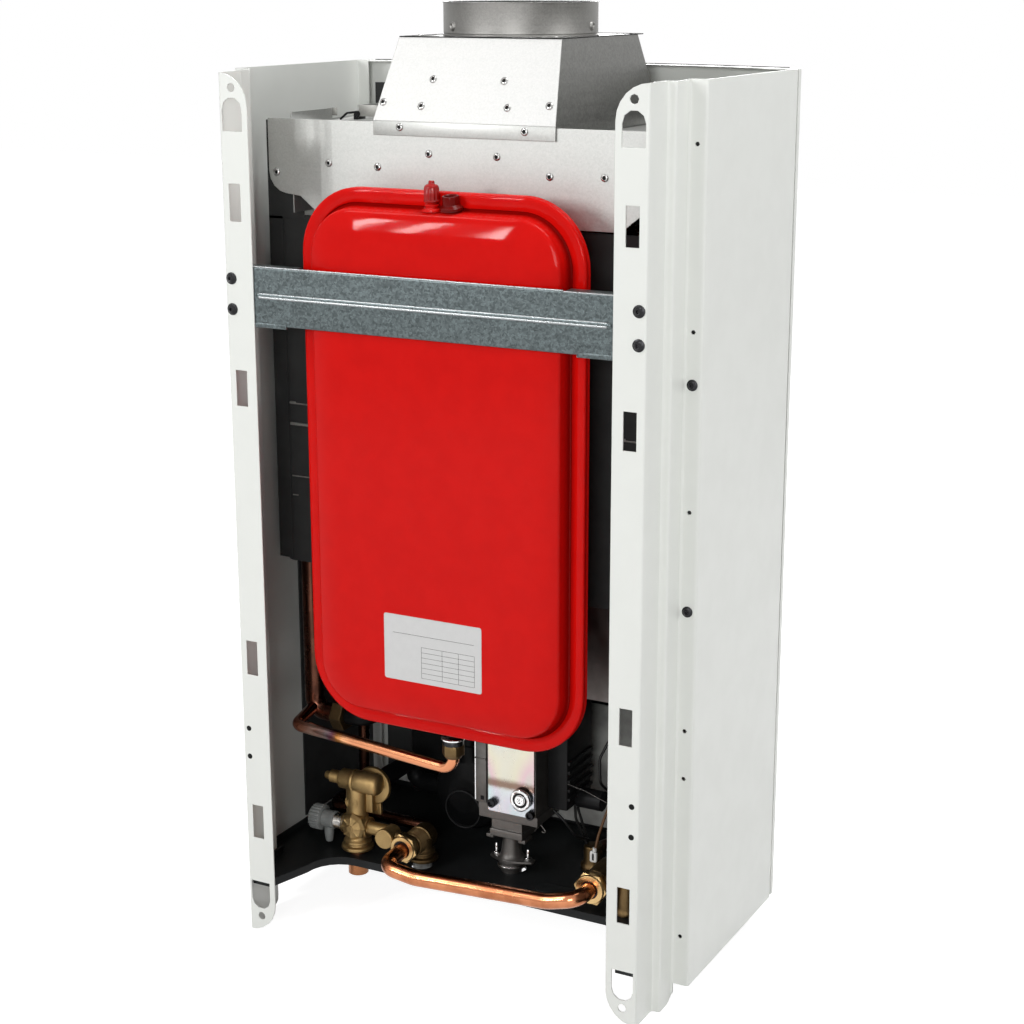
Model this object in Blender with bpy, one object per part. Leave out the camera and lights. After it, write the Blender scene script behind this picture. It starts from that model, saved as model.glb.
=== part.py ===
"""Wall-hung open-flue gas combination boiler, seen as a fitter sees it from behind, with its back open.

Units are metres. The wall is the plane Y = 0, the front of the boiler faces -Y, +Z is up, X = 0 is
the middle of the casing and Z = 0 is the level of the lower hanging lugs.
"""

from math import cos, pi, radians, sin, sqrt, tan

import bmesh
import bpy
from mathutils import Matrix, Vector

# Casing
CASE_HALF = 0.2
CASE_TOP = 0.709
SIDE_BOTTOM = 0.0158
FLANGE_INNER = 0.1529
FLANGE_BEND = 0.1787
STEP_1_Y = -0.0299
STEP_1_X = 0.1855
STEP_2_Y = -0.0511
SIDE_FRONT = -0.2306
SIDE_HEM = 0.188
LUG_TOP = 0.7084
LUG_RADIUS = 0.026
SHEET = 0.001
BEND = 0.002
SLOT_X = 0.1669
COVER_BACK = -0.2312
COVER_CORNER_Y = -0.241
COVER_BOW = 0.030
COVER_CORNER = 0.006
COVER_BOTTOM = 0.017
COVER_LIP = 0.012
WINDOW = (0.128, 0.072, 0.152)

# Base tray
TRAY_FLOOR = 0.047
TRAY_RIM = 0.052
TRAY_UNDER = 0.040
TRAY_REAR = -0.072
TRAY_FRONT = -0.2285

# Hanging bar
BAR_REAR = -0.0013
BAR_LOW = 0.5173
BAR_HIGH = 0.563
BAR_HALF = 0.176
BAR_SHEET = 0.0015
BAR_BEAD_Z = 0.5407
BAR_BEAD_HALF = 0.148

# Expansion vessel
VESSEL_MID_Z = 0.4118
RIM_HALF_W = 0.1215
RIM_HALF_H = 0.2135
RIM_CORNER = 0.052
RIM_Y = -0.026
VESSEL_WALL = 0.0012
VESSEL_REAR_FACE = -0.0062
VESSEL_FRONT_FACE = -0.066
SPOUT = (-0.004, -0.0378)
VALVE_X = 0.002
VALVE_Y = -0.0156
VALVE_Z = 0.6118

# Hood and flue
HOOD_PLATE_Y = -0.060
HOOD_PLATE_HALF = 0.176
HOOD_PLATE_TOP = 0.671
HOOD_SIDE = 0.155
HOOD_FRONT = -0.245
HOOD_BOTTOM = 0.598
CONE_BASE_HALF = 0.0775
CONE_BASE_Z = 0.6716
CONE_TOP_HALF = 0.0689
CONE_TOP_Z = 0.7337
CONE_TOP_REAR = -0.0855
CONE_TOP_FRONT = -0.2195
COLLAR_Y = -0.1525
COLLAR_RADIUS = 0.060
COLLAR_TOP = 0.7594

# Combustion chamber, burner and heat exchanger
CHAMBER_REAR = -0.080
CHAMBER_HALF = 0.188
CHAMBER_LOW = 0.304
CHAMBER_HIGH = 0.594
BOX_HALF = 0.150
BOX_REAR = -0.084
BOX_FRONT = -0.226
BOX_HIGH = 0.520
EXCHANGER_Z = 0.556
BURNER_TOP = 0.300
BURNER_LOW = 0.242
SHIELD_HALF = 0.140
SHIELD_LOW = 0.2195
ELECTRODE_X = 0.032
ELECTRODE_Z = 0.3155
BLADES = 12
BLADE_PITCH = 0.0215
PORTS = 5

# Water and gas connections
RETURN_X = 0.126
COLD_X = 0.062
GAS_X = -0.012
HOT_X = -0.070
FLOW_X = -0.131
WATER_Y = -0.088
GAS_Y = -0.120
HOT_Y = -0.150
STUB_END = 0.027
PUMP = (0.050, 0.092)
SAFETY_VALVE = (-0.131, -0.129, 0.088)
TAIL_HOLE = 0.0092

GAP = 0.0003
ROUND = 14


TAILS = (
    (RETURN_X, WATER_Y),
    (COLD_X, WATER_Y),
    (GAS_X, GAS_Y),
    (HOT_X, HOT_Y),
    (FLOW_X, WATER_Y),
)


# ---------------------------------------------------------------- materials


def material(name, color, metallic, roughness):
    """A plain Principled material, made once for each name."""
    found = bpy.data.materials.get(name)
    if found:
        return found
    made = bpy.data.materials.new(name)
    made.use_nodes = True
    shader = made.node_tree.nodes["Principled BSDF"]
    shader.inputs["Base Color"].default_value = (*color, 1.0)
    shader.inputs["Metallic"].default_value = metallic
    shader.inputs["Roughness"].default_value = roughness
    return made


def white_paint():
    return material("white_stove_paint", (0.72, 0.73, 0.70), 0.0, 0.35)


def galvanised():
    return material("galvanised_sheet", (0.62, 0.64, 0.65), 0.9, 0.42)


def aluminised():
    return material("aluminised_sheet", (0.50, 0.50, 0.49), 0.9, 0.5)


def dark_sheet():
    return material("dark_heat_proof_sheet", (0.11, 0.105, 0.10), 0.7, 0.55)


def red_enamel():
    return material("red_enamel", (0.65, 0.008, 0.006), 0.0, 0.16)


def brass():
    return material("sand_cast_brass", (0.44, 0.28, 0.11), 0.95, 0.42)


def copper():
    return material("copper_tube", (0.78, 0.34, 0.17), 1.0, 0.22)


def black_plastic():
    return material("black_plastic", (0.022, 0.023, 0.025), 0.0, 0.5)


def grey_plastic():
    return material("grey_plastic", (0.20, 0.21, 0.20), 0.0, 0.45)


def pale_plastic():
    return material("pale_plastic", (0.62, 0.63, 0.62), 0.0, 0.4)


def die_cast():
    return material("die_cast_alloy", (0.20, 0.19, 0.18), 0.85, 0.5)


def zinc_plate():
    return material("passivated_zinc", (0.74, 0.74, 0.70), 1.0, 0.22)


def rubber():
    return material("black_rubber", (0.03, 0.03, 0.03), 0.0, 0.75)


def fibre_board():
    return material("ceramic_fibre", (0.75, 0.72, 0.64), 0.0, 0.95)


def stainless():
    return material("stainless_steel", (0.60, 0.59, 0.57), 1.0, 0.3)


# ---------------------------------------------------------------- shape helpers


def arc(center, radius, start, end, steps):
    """Points of an arc from start to end, both in degrees."""
    points = []
    for step in range(steps + 1):
        angle = radians(start + (end - start) * step / steps)
        points.append((center[0] + radius * cos(angle), center[1] + radius * sin(angle)))
    return points


def rounded_rect(center, half_w, half_h, radius, steps=4):
    """A counter-clockwise rectangle with round corners."""
    points = []
    for sx, sy, start in ((1, 1, 0), (-1, 1, 90), (-1, -1, 180), (1, -1, 270)):
        corner = (center[0] + sx * (half_w - radius), center[1] + sy * (half_h - radius))
        points += arc(corner, radius, start, start + 90, steps)
    return points


def rounded_bar(center, half_w, half_h, steps=5):
    """A slot outline with one half-round end at its top (half_h > half_w)."""
    x, z = center
    top = arc((x, z + half_h - half_w), half_w, 0, 180, steps)
    return [(x - half_w, z - half_h), (x + half_w, z - half_h)] + top


def circle(center, radius, steps=8):
    return arc(center, radius, 0, 360 - 360 / steps, steps - 1)


def hexagon(center, across_flats, turn=0):
    radius = across_flats / sqrt(3)
    return arc(center, radius, turn, turn + 300, 5)


def filleted(path, radius, steps=3):
    """An open path with its inner corners rounded, by one radius or by one for each corner."""
    radii = radius if isinstance(radius, (list, tuple)) else [radius] * (len(path) - 2)
    result = [tuple(path[0])]
    for before, corner, after, bend in zip(path, path[1:], path[2:], radii):
        p = Vector(corner)
        to_before = (Vector(before) - p).normalized()
        to_after = (Vector(after) - p).normalized()
        half = to_before.angle(to_after) / 2
        middle = p + (to_before + to_after).normalized() * bend / sin(half)
        first = p + to_before * bend / tan(half) - middle
        last = p + to_after * bend / tan(half) - middle
        for step in range(steps + 1):
            result.append(tuple(middle + first.slerp(last, step / steps).normalized() * bend))
    result.append(tuple(path[-1]))
    return result


def offset_right(path, distance):
    """The same open 2-D path moved to its right by a distance, with mitred corners."""
    moved = []
    count = len(path)
    for index in range(count):
        here = Vector(path[index])
        before = (here - Vector(path[index - 1])).normalized() if index else None
        after = (Vector(path[index + 1]) - here).normalized() if index < count - 1 else None
        before = before or after
        after = after or before
        bisector = (before + after).normalized()
        normal = Vector((bisector.y, -bisector.x))
        shift = distance / max(normal.dot(Vector((before.y, -before.x))), 0.2)
        moved.append(tuple(here + normal * shift))
    return moved


def strip_outline(path, thickness):
    """A closed outline of sheet metal of a thickness, which lies to the right of the path."""
    return list(path) + offset_right(path, thickness)[::-1]


def wavy(center, low, high, waves):
    """A round outline whose radius steps between low and high, for a grip."""
    points = []
    for index in range(waves * 2):
        radius = high if index % 2 else low
        angle = pi * index / waves
        points.append((center[0] + radius * cos(angle), center[1] + radius * sin(angle)))
    return points


def place(axis, point, height):
    """A point of a flat outline lifted to a height along an axis."""
    if axis == "X":
        return (height, point[0], point[1])
    if axis == "Y":
        return (point[0], height, point[1])
    return (point[0], point[1], height)


def new_object(name, bm, surface, sharp=35):
    """Turns a bmesh into an object with closed, outward faces and smooth round surfaces."""
    bmesh.ops.remove_doubles(bm, verts=bm.verts, dist=1e-7)
    bmesh.ops.recalc_face_normals(bm, faces=bm.faces)
    mesh = bpy.data.meshes.new(name)
    bm.to_mesh(mesh)
    bm.free()
    mesh.materials.append(surface)
    mesh.shade_smooth()
    mesh.set_sharp_from_angle(angle=radians(sharp))
    made = bpy.data.objects.new(name, mesh)
    bpy.context.scene.collection.objects.link(made)
    return made


def add_prism(bm, outline, axis, low, high):
    """Adds one closed prism to a bmesh."""
    verts = [bm.verts.new(place(axis, point, low)) for point in outline]
    base = bm.faces.new(verts)
    grown = bmesh.ops.extrude_face_region(bm, geom=[base])
    top = [item for item in grown["geom"] if isinstance(item, bmesh.types.BMVert)]
    shift = Vector(place(axis, (0, 0), high - low))
    bmesh.ops.translate(bm, verts=top, vec=shift)


def prism(name, outline, axis, low, high, surface, sharp=35):
    bm = bmesh.new()
    add_prism(bm, outline, axis, low, high)
    return new_object(name, bm, surface, sharp)


def prisms(name, outlines, axis, low, high, surface):
    """Several separate prisms in one object, for a cutter."""
    bm = bmesh.new()
    for outline in outlines:
        add_prism(bm, outline, axis, low, high)
    return new_object(name, bm, surface)


def box(name, x, y, z, surface, bevel=0.0):
    """A block between two values on each axis, with its edges rounded by a bevel."""
    outline = [(x[0], y[0]), (x[1], y[0]), (x[1], y[1]), (x[0], y[1])]
    made = prism(name, outline, "Z", z[0], z[1], surface)
    if bevel:
        rounder = made.modifiers.new("edge_radius", "BEVEL")
        rounder.width = bevel
        rounder.segments = 1
        rounder.limit_method = "ANGLE"
    return made


def boxes(name, ranges, surface):
    """Several separate blocks in one object, for a cutter or a group to fuse."""
    bm = bmesh.new()
    for x, y, z in ranges:
        add_prism(bm, [(x[0], y[0]), (x[1], y[0]), (x[1], y[1]), (x[0], y[1])], "Z", z[0], z[1])
    return new_object(name, bm, surface)


def turned(name, profile, center, axis, surface, steps=ROUND, sharp=35):
    """A shape turned about an axis through a center. The profile is (radius, height along the axis)."""
    bm = bmesh.new()
    verts = [bm.verts.new((radius, 0.0, height)) for radius, height in profile]
    edges = [bm.edges.new(pair) for pair in zip(verts, verts[1:])]
    if profile[0][0] > 0 or profile[-1][0] > 0:
        edges.append(bm.edges.new((verts[-1], verts[0])))
    bmesh.ops.spin(
        bm,
        geom=verts + edges,
        cent=(0, 0, 0),
        axis=(0, 0, 1),
        angle=2 * pi,
        steps=steps,
        use_merge=True,
    )
    turn = {"X": Matrix.Rotation(pi / 2, 4, "Y"), "Y": Matrix.Rotation(-pi / 2, 4, "X")}
    bm.transform(Matrix.Translation(center) @ turn.get(axis, Matrix.Identity(4)))
    bmesh.ops.remove_doubles(bm, verts=bm.verts, dist=1e-6)
    return new_object(name, bm, surface, sharp)


def cylinder(name, radius, start, end, surface, steps=ROUND, chamfer=0.0):
    """A straight round bar between two points on one axis line."""
    axis = "XYZ"[max(range(3), key=lambda i: abs(end[i] - start[i]))]
    length = end["XYZ".index(axis)] - start["XYZ".index(axis)]
    side = 1 if length > 0 else -1
    c = chamfer * side
    profile = [(0, 0), (radius - chamfer, 0), (radius, c), (radius, length - c)]
    profile += [(radius - chamfer, length), (0, length)]
    if not chamfer:
        profile = [(0, 0), (radius, 0), (radius, length), (0, length)]
    return turned(name, profile, start, axis, surface, steps)


def loft(name, rings, surface, closed_loop=False, sharp=35):
    """Skins equal rings of 3-D points. Its ends are capped, or joined when the loft is a loop."""
    bm = bmesh.new()
    made = [[bm.verts.new(point) for point in ring] for ring in rings]
    pairs = list(zip(made, made[1:]))
    if closed_loop:
        pairs.append((made[-1], made[0]))
    else:
        bm.faces.new(made[0])
        bm.faces.new(made[-1])
    for lower, upper in pairs:
        for index in range(len(lower)):
            after = (index + 1) % len(lower)
            bm.faces.new((lower[index], lower[after], upper[after], upper[index]))
    return new_object(name, bm, surface, sharp)


def pipe(name, corners, radius, bend, surface, sides=10, bend_steps=3):
    """A bent round tube swept along straight runs with round bends, closed at both ends."""
    points = [Vector(point) for point in filleted(corners, bend, bend_steps)]
    rings = []
    ahead = (points[1] - points[0]).normalized()
    across = ahead.orthogonal().normalized()
    for index, point in enumerate(points):
        before = (point - points[index - 1]).normalized() if index else ahead
        after = (points[index + 1] - point).normalized() if index < len(points) - 1 else before
        heading = (before + after).normalized()
        across = (across - heading * across.dot(heading)).normalized()
        up = heading.cross(across)
        ring = []
        for side in range(sides):
            angle = 2 * pi * side / sides
            ring.append(point + across * radius * cos(angle) + up * radius * sin(angle))
        rings.append(ring)
    return loft(name, rings, surface)


def hidden(helper):
    helper.hide_render = True
    helper.display_type = "WIRE"
    return helper


def cut(target, *cutters):
    for cutter in cutters:
        step = target.modifiers.new("cut_" + cutter.name, "BOOLEAN")
        step.operation = "DIFFERENCE"
        step.object = hidden(cutter)
    return target


def fuse(target, *pieces):
    for piece in pieces:
        step = target.modifiers.new("join_" + piece.name, "BOOLEAN")
        step.operation = "UNION"
        step.object = hidden(piece)
    return target


def set_pivot(target, point):
    """Moves an object's origin to a point without moving its shape."""
    shift = Vector(point)
    target.data.transform(Matrix.Translation(-shift))
    target.location = shift
    return target


# ---------------------------------------------------------------- casing


def side_panel(name, side):
    """One folded side sheet, with the slotted rear flange that hangs on the wall."""
    path = [
        (FLANGE_INNER, 0),
        (FLANGE_BEND, 0),
        (FLANGE_BEND, STEP_1_Y),
        (STEP_1_X, STEP_1_Y),
        (STEP_1_X, STEP_2_Y),
        (CASE_HALF, STEP_2_Y),
        (CASE_HALF, SIDE_FRONT),
        (SIDE_HEM, SIDE_FRONT),
    ]
    outline = strip_outline(filleted(path, BEND, 2), SHEET)
    outline = [(side * x, y) for x, y in outline]
    panel = prism(name, outline, "Z", 0.0, CASE_TOP, white_paint())
    low_corner = (STEP_2_Y + 0.008, 0.008)
    skirt = [(-0.25, -0.001), (low_corner[0], -0.001)]
    skirt += arc(low_corner, 0.008, 270, 180, 3)
    skirt += [(STEP_2_Y, SIDE_BOTTOM), (-0.25, SIDE_BOTTOM)]
    ends = sorted((side * 0.14, side * 0.21))
    lug_step = [(0.01, LUG_TOP), (0.01, 0.72), (-0.0501, 0.72), (-0.0501, LUG_TOP)]
    cut(panel, prism(name + "_skirt_cut", skirt, "X", *ends, white_paint()))
    cut(panel, prism(name + "_lug_step", lug_step, "X", *ends, white_paint()))
    cut(panel, flange_cuts(name, side), band_cuts(name, side))
    return panel


def flange_cuts(name, side):
    """The holes, slots and round ends of the rear flange."""
    x = side * SLOT_X
    outlines = [circle((x, 0.6972), 0.0035), circle((x, 0.0138), 0.0035)]
    outlines.append(rounded_bar((x, 0.6773), 0.009, 0.0127))
    upside_down = rounded_bar((x, -0.0327), 0.009, 0.0124)
    outlines.append([(px, -pz) for px, pz in upside_down])
    for low, high in ((0.5965, 0.6254), (0.4521, 0.4807), (0.2284, 0.2576), (0.0846, 0.1141)):
        outlines.append([(x - 0.00525, low), (x + 0.00525, low), (x + 0.00525, high), (x - 0.00525, high)])
    for height in (0.1567, 0.181):
        outlines.append(circle((side * 0.172, height), 0.0015, 6))
    turn_x = FLANGE_INNER + LUG_RADIUS
    for turn_z, far_z, start in ((LUG_TOP - LUG_RADIUS, 0.72, 90), (LUG_RADIUS, -0.01, 270)):
        end = 180
        corner = arc((turn_x, turn_z), LUG_RADIUS, start, end, 6)
        corner += [(FLANGE_INNER - 0.01, turn_z), (FLANGE_INNER - 0.01, far_z), (turn_x, far_z)]
        outlines.append([(side * px, pz) for px, pz in corner])
    return prisms(name + "_flange_cut", outlines, "Y", -0.006, 0.003, white_paint())


def band_cuts(name, side):
    """Small screw holes in the narrow rear-facing band of the side."""
    outlines = []
    for height in (0.6645, 0.5317, 0.3981, 0.2273, 0.1886, 0.0573):
        outlines.append(circle((side * 0.1924, height), 0.0018, 6))
    return prisms(name + "_band_cut", outlines, "Y", -0.055, -0.048, white_paint())


def cover_path(inset):
    """Plan line of the bowed front, from its +X edge round to its -X edge, moved in by an inset."""
    radius = max(COVER_CORNER - inset, 0.0005)
    turn_x = CASE_HALF - inset - radius
    right = [(CASE_HALF - inset, COVER_BACK)]
    right += arc((turn_x, COVER_CORNER_Y + inset + radius), radius, 0, -72, 4)
    steps = 14
    bow = []
    for step in range(1, steps):
        x = turn_x * (1 - 2 * step / steps)
        bow.append((x, COVER_CORNER_Y + inset - COVER_BOW * (1 - (x / turn_x) ** 2)))
    left = [(-x, y) for x, y in right[::-1]]
    return right + bow + left


def front_cover():
    """The bowed lift-off front: one pressed sheet with top and bottom lips and a control window."""
    outline = cover_path(0) + cover_path(SHEET)[::-1]
    sheet = prism("front_cover", outline, "Z", COVER_BOTTOM, CASE_TOP, white_paint())
    lip = cover_path(SHEET / 2) + cover_path(COVER_LIP)[::-1]
    for name, low in (("cover_top_lip", CASE_TOP - 0.0012), ("cover_bottom_lip", COVER_BOTTOM + 0.0002)):
        fuse(sheet, prism(name, lip, "Z", low, low + SHEET, white_paint()))
    half, low, high = WINDOW
    opening = rounded_rect((0, (low + high) / 2), half, (high - low) / 2, 0.010, 3)
    cut(sheet, prism("cover_window", opening, "Y", -0.30, -0.235, white_paint()))
    return set_pivot(sheet, (0, COVER_BACK, CASE_TOP))


def tray_outline(inset):
    """Plan outline of the base tray, moved in by an inset at the sides and front."""
    right = [(0.118, TRAY_REAR)] + arc((0.118, TRAY_REAR + 0.030), 0.030, 285, 360, 5)
    right += [(0.159, -0.004), (0.177 - inset, -0.004), (0.177 - inset, -0.0316)]
    right += [(0.1838 - inset, -0.0316), (0.1838 - inset, -0.0528)]
    right += [(0.1983 - inset, -0.0528), (0.1983 - inset, TRAY_FRONT + inset)]
    return right + [(-x, y) for x, y in right[::-1]]


def under_outline(wall):
    """The hollow under the tray, one wall in from its edge all round."""
    right = [(0.118 + wall / 2, TRAY_REAR - wall)]
    right += arc((0.118, TRAY_REAR + 0.030), 0.030 + wall, 285, 360, 5)
    right += [(0.159 + wall, -0.004 - wall), (0.177 - wall, -0.004 - wall), (0.177 - wall, -0.033)]
    right += [(0.1838 - wall, -0.0335), (0.1838 - wall, -0.055), (0.1983 - wall, -0.055)]
    right += [(0.1983 - wall, TRAY_FRONT + wall)]
    return right + [(-x, y) for x, y in right[::-1]]


def base_tray():
    """The bottom tray, cut back behind the pipes, with a turned-down edge and side rims."""
    tray = prism("base_tray", tray_outline(0), "Z", TRAY_UNDER, TRAY_RIM, black_plastic())
    wall = 0.0025
    cut(tray, prism("tray_pocket", pocket_outline(wall), "Z", TRAY_FLOOR, 0.06, black_plastic()))
    cut(tray, prism("tray_underside", under_outline(wall), "Z", 0.03, TRAY_FLOOR - 0.0028, black_plastic()))
    holes = []
    for x, y in TAILS:
        holes.append(circle((x, y), TAIL_HOLE, 12))
    cut(tray, prisms("tray_holes", holes, "Z", 0.035, 0.055, black_plastic()))
    return tray


def pocket_outline(wall):
    """The space above the tray floor: open to the rear, walled at the sides and front."""
    right = [(0.1765 - wall, 0.01), (0.1765 - wall, -0.033), (0.1838 - wall, -0.033)]
    right += [(0.1838 - wall, -0.055), (0.1983 - wall, -0.055), (0.1983 - wall, TRAY_FRONT + wall)]
    return right + [(-x, y) for x, y in right[::-1]]


def hanging_bar():
    """The galvanised bar across the back, with a pressed bead and lips cut away for the vessel."""
    front_edge = -0.0125
    path = [(front_edge, BAR_HIGH), (BAR_REAR, BAR_HIGH), (BAR_REAR, BAR_LOW), (front_edge, BAR_LOW)]
    outline = strip_outline(filleted(path, BEND, 2), BAR_SHEET)
    bar = prism("hanging_bar", outline, "X", -BAR_HALF, BAR_HALF, galvanised())
    bead = [(BAR_REAR - 0.001, BAR_BEAD_Z - 0.003), (BAR_REAR - 0.001, BAR_BEAD_Z + 0.003)]
    bead += [(BAR_REAR + 0.001, BAR_BEAD_Z + 0.0014), (BAR_REAR + 0.001, BAR_BEAD_Z - 0.0014)]
    fuse(bar, prism("bar_bead", bead, "X", -BAR_BEAD_HALF, BAR_BEAD_HALF, galvanised()))
    lips = [((-0.1145, 0.1155), (-0.02, -0.0029), (0.50, 0.58))]
    cut(bar, boxes("bar_lip_cut", lips, galvanised()))
    return bar


# ---------------------------------------------------------------- expansion vessel


def vessel_ring(inset, y, steps=4):
    """The vessel's outline at a plane, moved in from the rim by an inset."""
    radius = max(RIM_CORNER - inset * 0.45, 0.01)
    half_w = RIM_HALF_W - inset
    half_h = RIM_HALF_H - inset
    flat = rounded_rect((0, VESSEL_MID_Z), half_w, half_h, radius, steps)
    return [(x, y, z) for x, z in flat]


def shoulder(start_inset, start_y, end_inset, end_y, steps=4):
    """Rings of an elliptic shoulder from the side wall round to the flat face."""
    rings = []
    for step in range(steps + 1):
        angle = pi / 2 * step / steps
        inset = start_inset + (end_inset - start_inset) * (1 - cos(angle))
        y = start_y + (end_y - start_y) * sin(angle)
        rings.append((inset, y))
    return rings


def vessel_shell(name, seat_y, way, face_y, reach):
    """One pressed half of the vessel: a flange that the rim grips, a side wall, a shoulder, a face."""
    wall = VESSEL_WALL
    side_y = seat_y + way * 0.004
    outer = [(0.003, seat_y), (0.003, seat_y + way * wall), (0.0085, seat_y + way * wall)]
    outer += shoulder(0.009, side_y, reach, face_y)
    inner = [(0.0085 + wall, seat_y)]
    inner += shoulder(0.009 + wall, side_y - way * wall, reach, face_y - way * wall)
    rings = [vessel_ring(*spot) for spot in inner[::-1] + outer]
    return loft(name, rings, red_enamel(), sharp=50)


def vessel_rear_shell():
    """The wall-side half, with the pocket under the air valve and the blind boss beside it."""
    shell = vessel_shell("vessel_rear_shell", RIM_Y + 0.0012, 1, VESSEL_REAR_FACE, 0.026)
    boss = [(0, -0.004), (0.0053, -0.004), (0.0053, 0.009), (0.0044, 0.0102), (0, 0.0102)]
    fuse(shell, turned("vessel_blind_boss", boss, (-0.0155, -0.0157, 0.6115), "Z", red_enamel(), 12))
    stem = [(0, -0.0055), (0.0048, -0.0055), (0.0048, 0.0035), (0.0042, 0.0035), (0.0042, 0.006)]
    stem += [(0.0031, 0.007), (0.0031, 0.0155), (0, 0.0155)]
    stem_at = (VALVE_X, VALVE_Y, VALVE_Z - 0.002)
    fuse(shell, turned("air_valve_stem", stem, stem_at, "Z", red_enamel(), 12))
    return shell


def vessel_front_shell():
    """The burner-side half, deeper than the rear one, with the water connection at its foot."""
    shell = vessel_shell("vessel_front_shell", RIM_Y - 0.0012, -1, VESSEL_FRONT_FACE, 0.060)
    spout = [(0, 0.0), (0.0064, 0.0), (0.0064, 0.0215), (0, 0.0215)]
    return fuse(shell, turned("vessel_spout", spout, (*SPOUT, 0.1899), "Z", red_enamel(), 12))


def vessel_rim():
    """The rolled rim: a C-shaped band all round that clamps the two pressed halves together."""
    reach = 0.0085
    half = 0.0027 + GAP
    lip = half + 0.0014
    section = [
        (reach, lip),
        (0.0014, lip),
        (0.0, half),
        (0.0, -half),
        (0.0014, -lip),
        (reach, -lip),
        (reach, -half),
        (0.0018, -half),
        (0.0018, half),
        (reach, half),
    ]
    rings = [vessel_ring(inset, RIM_Y + y) for inset, y in section]
    return loft("vessel_rim", rings, red_enamel(), closed_loop=True, sharp=50)


def vessel_membrane():
    """The rubber bag wall, dished into the water side and gripped at the rim."""
    half = 0.0009
    outer = [(0.004, RIM_Y + half), (0.015, RIM_Y + half), (0.030, RIM_Y - 0.012), (0.05, RIM_Y - 0.020)]
    inner = [(0.052, RIM_Y - 0.0218), (0.031, RIM_Y - 0.0138), (0.015, RIM_Y - half), (0.004, RIM_Y - half)]
    rings = [vessel_ring(*spot) for spot in inner + outer]
    return loft("vessel_membrane", rings, rubber())


def air_valve_cap():
    """The screw cap of the charging valve."""
    floor = 0.0139
    profile = [(0, floor), (0.0034, floor), (0.0034, 0.0056), (0.0052, 0.0056), (0.0056, 0.0064)]
    profile += [(0.0056, 0.0165), (0.0049, 0.0178), (0.0022, 0.0184), (0.0022, 0.0204), (0, 0.0204)]
    base = (VALVE_X, VALVE_Y, VALVE_Z)
    return set_pivot(turned("air_valve_cap", profile, base, "Z", red_enamel(), 12), base)


def vessel_connection():
    """Washer, union nut and copper pipe at the foot of the vessel."""
    x, y = SPOUT
    washer = [(0.0070, 0), (0.0115, 0), (0.0115, 0.0022), (0.0070, 0.0022)]
    turned("vessel_washer", washer, (x, y, 0.1900), "Z", pale_plastic(), 12)
    nut = prism("vessel_nut", hexagon((x, y), 0.0165), "Z", 0.1795, 0.1895, brass())
    neck = [(0, 0), (0.0060, 0), (0.0070, 0.0025), (0.0070, 0.0045), (0, 0.0045)]
    fuse(nut, turned("vessel_nut_neck", neck, (x, y, 0.1763), "Z", brass(), 12))
    corners = [
        (x, y, 0.1759),
        (x, y, 0.1690),
        (0.144, -0.049, 0.1690),
        (0.161, -0.051, 0.1700),
        (0.161, -0.0845, 0.1695),
    ]
    return pipe("vessel_pipe", corners, 0.0048, [0.0065, 0.030, 0.009], copper())


# ---------------------------------------------------------------- hood and flue


def hood_rear_plate():
    """The flat rear sheet of the draught hood, with its cut-down lower edge."""
    right = [(0.130, HOOD_BOTTOM), (0.147, 0.6115)]
    right += arc((0.159, 0.630), 0.017, 275, 360, 4)
    right += [(HOOD_PLATE_HALF, HOOD_PLATE_TOP)]
    outline = right + [(-x, z) for x, z in right[::-1]]
    y = HOOD_PLATE_Y
    return prism("hood_rear_plate", outline, "Y", y - SHEET, y, galvanised())


def hood_body():
    """Side walls, front wall and deck of the draught hood."""
    rear = HOOD_PLATE_Y - SHEET - GAP
    side = (HOOD_SIDE - SHEET, HOOD_SIDE)
    deck = box("hood_body", (-HOOD_SIDE, HOOD_SIDE), (HOOD_FRONT, rear), (0.6625, 0.6635), galvanised())
    walls = [
        (side, (HOOD_FRONT, rear), (HOOD_BOTTOM, 0.676)),
        ((-side[1], -side[0]), (HOOD_FRONT, rear), (HOOD_BOTTOM, 0.676)),
        ((-HOOD_SIDE + 0.0002, HOOD_SIDE - 0.0002), (HOOD_FRONT, HOOD_FRONT + SHEET), (0.5985, 0.6711)),
    ]
    for index, wall in enumerate(walls):
        fuse(deck, boxes(f"hood_wall_{index}", [wall], galvanised()))
    throat = [((-0.074, 0.074), (-0.238, -0.068), (0.65, 0.67))]
    notches = [((-0.16, 0.16), (-0.159, -0.119), (0.668, 0.68))]
    return cut(deck, boxes("hood_throat", throat, galvanised()), boxes("hood_notch", notches, galvanised()))


def rect_ring(half_x, rear, front, z):
    return [(half_x, rear, z), (-half_x, rear, z), (-half_x, front, z), (half_x, front, z)]


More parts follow.
